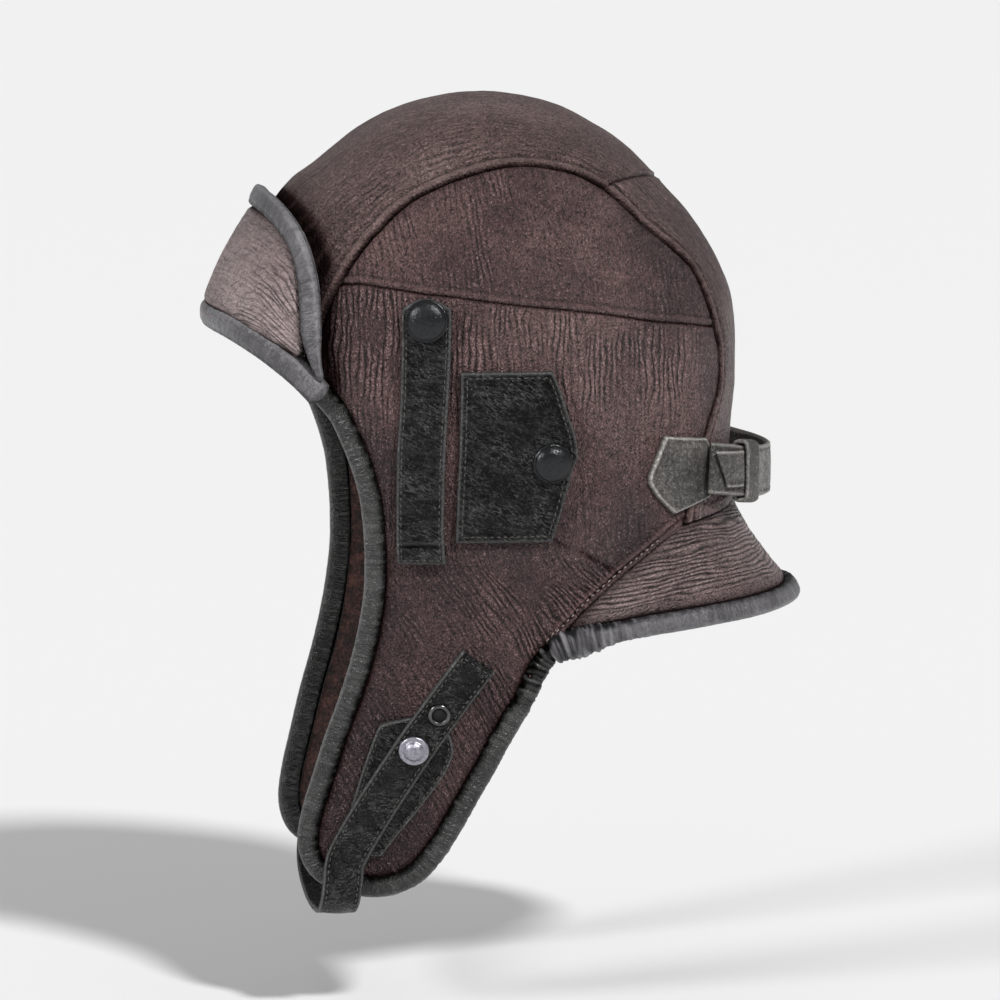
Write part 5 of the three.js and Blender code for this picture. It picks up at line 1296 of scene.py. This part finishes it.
left_run = [flap_point(r) for r in CHIN_RUN]
cross_run = [np.array(r, float) for r in CHIN_CROSS]
turn_over = np.array([-1, 1, 1, -1, 1, 1.0])
chin_rows = left_run + cross_run + [r * turn_over for r in cross_run[-2::-1]] + [r * turn_over for r in left_run[:CHIN_RIGHT_TOP - 1:-1]]
chin_patch = ribbon("chin_strap_loop", chin_rows, STRAP_WIDTH, STRAP_THICK, BLACK, ("chin_strap",), seed=1.0)

nape_rows = [np.array([*r, r[0], r[1], 0.0]) for r in mirrored(NAPE_RUN, [-1, 1, 1])]
for r in nape_rows:
    r[3:] = unit(r[3:])
nape_patch = ribbon("nape_strap", nape_rows, BACK_WIDTH, BACK_THICK - 0.4, TAB, ("back_strap",), seed=2.0)


tail_rows = [np.array([*r, r[0], r[1], 0.0]) for r in ([46.6, 100.3, -147.6], [51.6, 95.8, -147.2], [57.4, 89.7, -146.4])]
for r in tail_rows:
    r[3:] = unit(r[3:])
    r[:3] += r[3:] * (BACK_THICK / 2 + 1.3)
tail_patch = ribbon("nape_strap_tail", tail_rows, 15, 1.5, TAB, ("back_strap_tail",), step=0.4, seed=4.0, slant=4.4)


def loop_piece():
    """The strap's keeper: a folded loop round both layers."""
    c, _ = smooth(nape_rows, 800)
    near = np.argmin(np.abs(c[:, 0] - LOOP_X))
    p, out = c[near, :3], unit(c[near, 3:])
    t = unit(c[near + 1, :3] - c[near - 1, :3])
    up = np.array([0, 0, 1.0])
    hw, ht = BACK_WIDTH / 2 + 1.6, BACK_THICK / 2 + 1.5
    n = 88
    th = np.linspace(0, 2 * np.pi, n, endpoint=False)
    path = np.stack([hw * np.sign(np.cos(th)) * np.abs(np.cos(th)) ** 0.34, ht * np.sign(np.sin(th)) * np.abs(np.sin(th)) ** 0.5], 1)
    centre = p + path[:, :1] * up + path[:, 1:] * out
    tang = unit(np.roll(centre, -1, 0) - np.roll(centre, 1, 0))
    side = np.cross(tang, np.tile(t, (n, 1)))
    side = unit(side)
    side *= np.sign((side * (centre - p)).sum(1, keepdims=True))
    m = 24
    a = np.arange(m) * 2 * np.pi / m
    w = LOOP_LONG / 2 * np.sign(np.cos(a)) * np.abs(np.cos(a)) ** 0.45
    o = LOOP_THICK / 2 * np.sign(np.sin(a)) * np.abs(np.sin(a)) ** 0.6
    wob = 0.25 * noise(np.stack([np.cos(th) * 2, np.sin(th) * 2, th * 0], -1))
    V = centre[:, None] + t * w[None, :, None] + side[:, None] * (o[None, :] + wob[:, None])[..., None]
    i, k = np.meshgrid(np.arange(n), np.arange(m), indexing="ij")
    q = np.stack([(i * m + k).ravel(), (i * m + (k + 1) % m).ravel(), (((i + 1) % n) * m + (k + 1) % m).ravel(), (((i + 1) % n) * m + k).ravel()], 1)
    # wear and painted highlight along the loop's edges
    wear_and_highlight = np.clip(0.55 * np.exp(-((np.abs(w) - LOOP_LONG / 2 * 0.93) / 0.5) ** 2)[None, :] + 0 * V[..., 0], 0, 0.9)
    build("nape_strap_loop", V.reshape(-1, 3), [q], TAB, ("back_loop",), False, {"wear_and_highlight": wear_and_highlight.ravel()})


loop_piece()


# ---------------------------------------------------------------------------------------------------------------------
# Snaps and eyelet
# ---------------------------------------------------------------------------------------------------------------------
def turned(name, profile, p, n, material, replaces=(), flip=False, sides=56):
    """A turned part: profile pairs (radius, height) from the axis underneath to the axis on top."""
    n = unit(np.asarray(n, float))
    a = unit(np.cross(n, [0.3, 1, 0.2]))
    b = np.cross(n, a)
    th = np.arange(sides) * 2 * np.pi / sides
    rings = np.array([[p + a * r * np.cos(x) + b * r * np.sin(x) + n * h for x in th] for r, h in profile if r > 1e-6])
    closed = profile[0][0] > 1e-6
    m = sides
    i, k = np.meshgrid(np.arange(len(rings) - (0 if closed else 1)), np.arange(m), indexing="ij")
    nx = (i + 1) % len(rings)
    q = np.stack([(i * m + k).ravel(), (i * m + (k + 1) % m).ravel(), (nx * m + (k + 1) % m).ravel(), (nx * m + k).ravel()], 1)
    V = rings.reshape(-1, 3)
    if closed:
        return build(name, V, [q], material, replaces, flip)
    c0, c1 = len(V), len(V) + 1
    V = np.concatenate([V, [p + n * profile[0][1], p + n * profile[-1][1]]])
    ids = np.arange(m)
    top = (len(rings) - 1) * m + ids
    caps = np.concatenate([np.stack([np.full(m, c0), np.roll(ids, -1), ids], 1), np.stack([np.full(m, c1), top, np.roll(top, -1)], 1)])
    return build(name, V, [q, caps], material, replaces, flip)


def dome(radius, height, lip=0.7):
    pts = [(0, -1.2), (radius * 0.92, -1.2), (radius * 0.99, -0.2), (radius, 0.3), (radius * 0.995, 0.75), (radius * 0.965, 1.1)]
    pts += [(radius * 0.93, 1.15)]
    for k in range(1, 15):
        a = k / 14 * math.pi / 2
        pts.append((radius * 0.92 * math.cos(a) ** 0.8 if k < 14 else 0, 1.2 + (height - 1.2) * math.sin(a) ** 1.15))
    return pts


for flip in BOTH:
    k = "R" if flip else "L"
    p = on_side(-30.4, -82.0)
    turned("goggle_keeper_snap_" + k, dome(8.6, 4.2), p + normal(p) * 4.4, normal(p), SNAP_DARK, ("goggle_snap_" + k,), flip)
    p = on_side(18.6, -138.8)
    turned("ear_pocket_snap_" + k, dome(8.0, 4.2), p + normal(p) * 3.6, normal(p), SNAP_DARK, ("ear_snap_" + k,), flip)
chin_at = flap_point([-34.2, -255.8, 6.1])
turned("chin_strap_snap", [(0, -0.6), (6.1, -0.6), (6.2, 0.3), (6.05, 0.85), (5.6, 1.15), (5.0, 1.2), (4.6, 1.0), (4.3, 1.05), (4.0, 1.6), (3.2, 2.5), (2.0, 3.1), (1.0, 3.35), (0, 3.4)],
       chin_at[:3], chin_at[3:], SNAP_BRIGHT, ("chin_snap",))
eye = flap_point([-24.6, -240.8, 6.05])
turned("chin_strap_eyelet", [(2.9, -0.4), (4.5, -0.4), (4.6, 0.15), (4.3, 0.6), (3.8, 0.85), (3.3, 0.75), (2.95, 0.4)], eye[:3], eye[3:], EYELET, ("chin_eyelet",))
# a near-black disc in the eyelet: painted shadow in the hole
turned("chin_strap_eyelet_shadow", [(0, -0.5), (3.05, -0.5), (3.05, 0.12), (0, 0.12)], eye[:3], eye[3:], EYELET_SHADOW)


# ---------------------------------------------------------------------------------------------------------------------
# Lining
# ---------------------------------------------------------------------------------------------------------------------
def lining(name, P, N, node, flip=False):
    rough = 0.35 * layered(P / 2.2, 2) + 0.3 * noise(P / 7)
    edge = np.ones(P.shape[:2])
    edge[0] = edge[-1] = 0
    edge[:, 0] = edge[:, -1] = 0
    outer = P + N * (LINING_OUT + 0.0 * rough)[..., None]
    inner = P + N * (LINING_IN - 0.4 * edge + rough * edge)[..., None]
    shell(name, outer, inner, FLEECE, (node,), flip)


L = 2.7 * FINE
T = even(lambda t: centre_at(t, 1) / 2 + centre_at(t, 0) / 2, 0, len(CENTRE) - 1, L)
P = centre_at(T[:, None], np.linspace(-0.995, 0.995, int(136 / L))[None])
lining("fleece_centre", P, normal(P), "lining_centre")
U = np.linspace(0.004, 0.996, int(130 / L))
T = even(lambda t: lower_at(t, 0.3) / 2 + lower_at(t, 0.7) / 2, 0, len(LOWER) - 1, L)
low_part = lower_at(T[:, None], U[None])
tops = arc_seam(mix(157.0, 4.0, 1 - (1 - U) ** 1.25))
rows_up = max(int(74 / L), 3)
k = (np.arange(rows_up) / rows_up)[:, None]
yy, zz = mix(tops[None, :, 1], low_part[:1, :, 1], k), mix(tops[None, :, 2], low_part[:1, :, 2], k)
up_part = on_side(yy, zz)
up_part[0] = tops
P = np.concatenate([up_part, low_part])
for flip in BOTH:
    lining("fleece_side_" + ("R" if flip else "L"), P, normal(P), "lining_side_" + ("R" if flip else "L"), flip)
keep = slice(None, None, 2)
lining("fleece_neck", neck_P[keep][:, keep], neck_N[keep][:, keep], "lining_neck")


# ---------------------------------------------------------------------------------------------------------------------
# Threads
# ---------------------------------------------------------------------------------------------------------------------
def strip_threads(patch, t, off, side):     # along a centre strip patch, off mm inside its edge
    edge, in_ = centre_at(t, 1.0), centre_at(t, 0.97)
    per = np.linalg.norm(edge - in_, axis=-1) / 0.03
    return patch.at(t, side * (1 - off / per))


for flip in BOTH:
    sgn = -1 if flip else 1
    rows = []
    for patch, lo, hi in ((front_patch, 1.5, 19), (back_patch, 19, 31.5)):
        rows.append(stitches(*strip_threads(patch, np.linspace(lo, hi, 900), 4.7, sgn), radius=0.24, lift=0.1))
    rows.append(stitches(*strip_threads(back_patch, np.linspace(19.6, 29, 500), 9.2, sgn), radius=0.22, lift=0.02, length=1.7))
    sewn("arc_seam_threads_" + ("R" if flip else "L"), rows, THREAD)
    rows = []
    tt = np.linspace(0.4, len(UPPER_PAIRS) - 1.4, 900)
    per = np.linalg.norm(upper_at(tt, 0.999) - upper_at(tt, 0.96), axis=-1) / 0.039
    vv = 1 - 3.7 / np.maximum(per, 8)
    rows.append(stitches(*upper_patch.at(tt, vv), radius=0.22, lift=0.02, length=1.8))
    low_t = np.linspace(6.9, 13.4, 480)
    per = np.linalg.norm(lower_at(low_t, 1.0) - lower_at(low_t, 0.98), axis=-1) / 0.02
    sewn("neck_seam_threads_" + ("R" if flip else "L"), [stitches(*lower_patch.at(low_t, 1 - 1.7 / per), pitch=2.9, radius=0.27, lift=0.14, length=1.5)], THREAD_PALE, flip)
    sewn("side_seam_threads_" + ("R" if flip else "L"), rows, THREAD, flip)
    rows = []
    for key, marg in (("goggle", 2.0), ("ear", 2.6), ("chin", 2.0), ("back", 2.0)):
        pt = patches[key + ("R" if flip else "L")]
        size_v = length_of(pt.p[:, len(pt.u) // 2])
        for w_side in (0, 1):
            vv = np.linspace(marg / size_v, 1 - marg / size_v, 500)
            rowsz = np.interp(vv, pt.t, np.linalg.norm(pt.p[:, 0] - pt.p[:, -1], axis=1))
            ww = np.clip(marg / np.maximum(rowsz, 3), 0, 0.48)
            rows.append(stitches(*pt.at(vv, ww if w_side == 0 else 1 - ww), pitch=2.6, length=1.7, radius=0.2, lift=0.06))
        for v_end in (marg / size_v, 1 - marg / size_v):
            rowsz = float(np.interp(v_end, pt.t, np.linalg.norm(pt.p[:, 0] - pt.p[:, -1], axis=1)))
            if rowsz > 9:
                ww = np.linspace(marg / rowsz, 1 - marg / rowsz, 200)
                rows.append(stitches(*pt.at(np.full(200, v_end), ww), pitch=2.6, length=1.7, radius=0.2, lift=0.06))
    sewn("applied_threads_" + ("R" if flip else "L"), rows, THREAD_LIGHT, flip)

rows = []
for w_at in (-1 + 2.1 / (STRAP_WIDTH / 2), 1 - 2.1 / (STRAP_WIDTH / 2)):
    rr = np.linspace(2, chin_patch.t[-1] - 2, 3000)
    rows.append(stitches(*chin_patch.at(rr, np.full(3000, w_at)), pitch=2.7, length=1.8, radius=0.2, lift=0.05))
rr = np.full(200, 2.1)
rows.append(stitches(*chin_patch.at(rr, np.linspace(-0.72, 0.72, 200)), pitch=2.7, length=1.8, radius=0.2, lift=0.05))
for w_at in (-1 + 2.1 / (BACK_WIDTH / 2), 1 - 2.1 / (BACK_WIDTH / 2)):
    rr = np.linspace(2, nape_patch.t[-1] - 2, 1500)
    rows.append(stitches(*nape_patch.at(rr, np.full(1500, w_at)), pitch=2.7, length=1.8, radius=0.2, lift=0.05))
sewn("strap_threads", rows, THREAD_LIGHT)


# ---------------------------------------------------------------------------------------------------------------------
# Floor, light and camera
# ---------------------------------------------------------------------------------------------------------------------
def floor_plane():
    me = bpy.data.meshes.new("floor")
    me.from_pydata([(-90, -90, -0.372), (90, -90, -0.372), (90, 90, -0.372), (-90, 90, -0.372)], [], [(0, 1, 2, 3)])
    ob = bpy.data.objects.new("floor", me)
    bpy.context.scene.collection.objects.link(ob)
    m = bpy.data.materials.new("floor")
    m.use_nodes = True
    b = m.node_tree.nodes["Principled BSDF"]
    b.inputs["Base Color"].default_value = (0.86, 0.86, 0.86, 1)
    b.inputs["Roughness"].default_value = 0.9
    me.materials.append(m)


floor_plane()


def area(name, at, aim, size, power, colour=(1, 1, 1)):
    d = bpy.data.lights.new(name, "AREA")
    d.shape, d.size, d.energy, d.color = "DISK", size, power, colour
    ob = bpy.data.objects.new(name, d)
    bpy.context.scene.collection.objects.link(ob)
    ob.location = at
    from mathutils import Vector
    ob.rotation_euler = (Vector(aim) - Vector(at)).to_track_quat("-Z", "Y").to_euler()
    return ob


MIDDLE = (0.0, 0.0, -0.16)
def sun(name, toward, strength, width):
    d = bpy.data.lights.new(name, "SUN")
    d.energy, d.angle = strength, math.radians(width)
    ob = bpy.data.objects.new(name, d)
    bpy.context.scene.collection.objects.link(ob)
    from mathutils import Vector
    ob.rotation_euler = Vector(toward).to_track_quat("-Z", "Y").to_euler()


sun("key", (-0.78, -0.42, -0.85), 2.5, 6)
sun("front", (-0.42, 0.85, -0.5), 1.6, 16)


world = bpy.data.worlds.new("studio")
bpy.context.scene.world = world
world.use_nodes = True
world.node_tree.nodes["Background"].inputs[0].default_value = (1, 1, 1, 1)
world.node_tree.nodes["Background"].inputs[1].default_value = 0.27

cam = bpy.data.cameras.new("camera")
cam.sensor_width = 36
cam.lens = 36 * 2200 / 410
eye_at = bpy.data.objects.new("camera", cam)
bpy.context.scene.collection.objects.link(eye_at)
bpy.context.scene.camera = eye_at
from mathutils import Vector
eye_at.location = (2.1837271, -0.2783953, 0.1439992)
eye_at.rotation_euler = (Vector((0.0237755, 0.0059677, -0.1621816)) - eye_at.location).to_track_quat("-Z", "Y").to_euler()
cam.clip_end = 200
bpy.context.scene.view_settings.view_transform = "Standard"
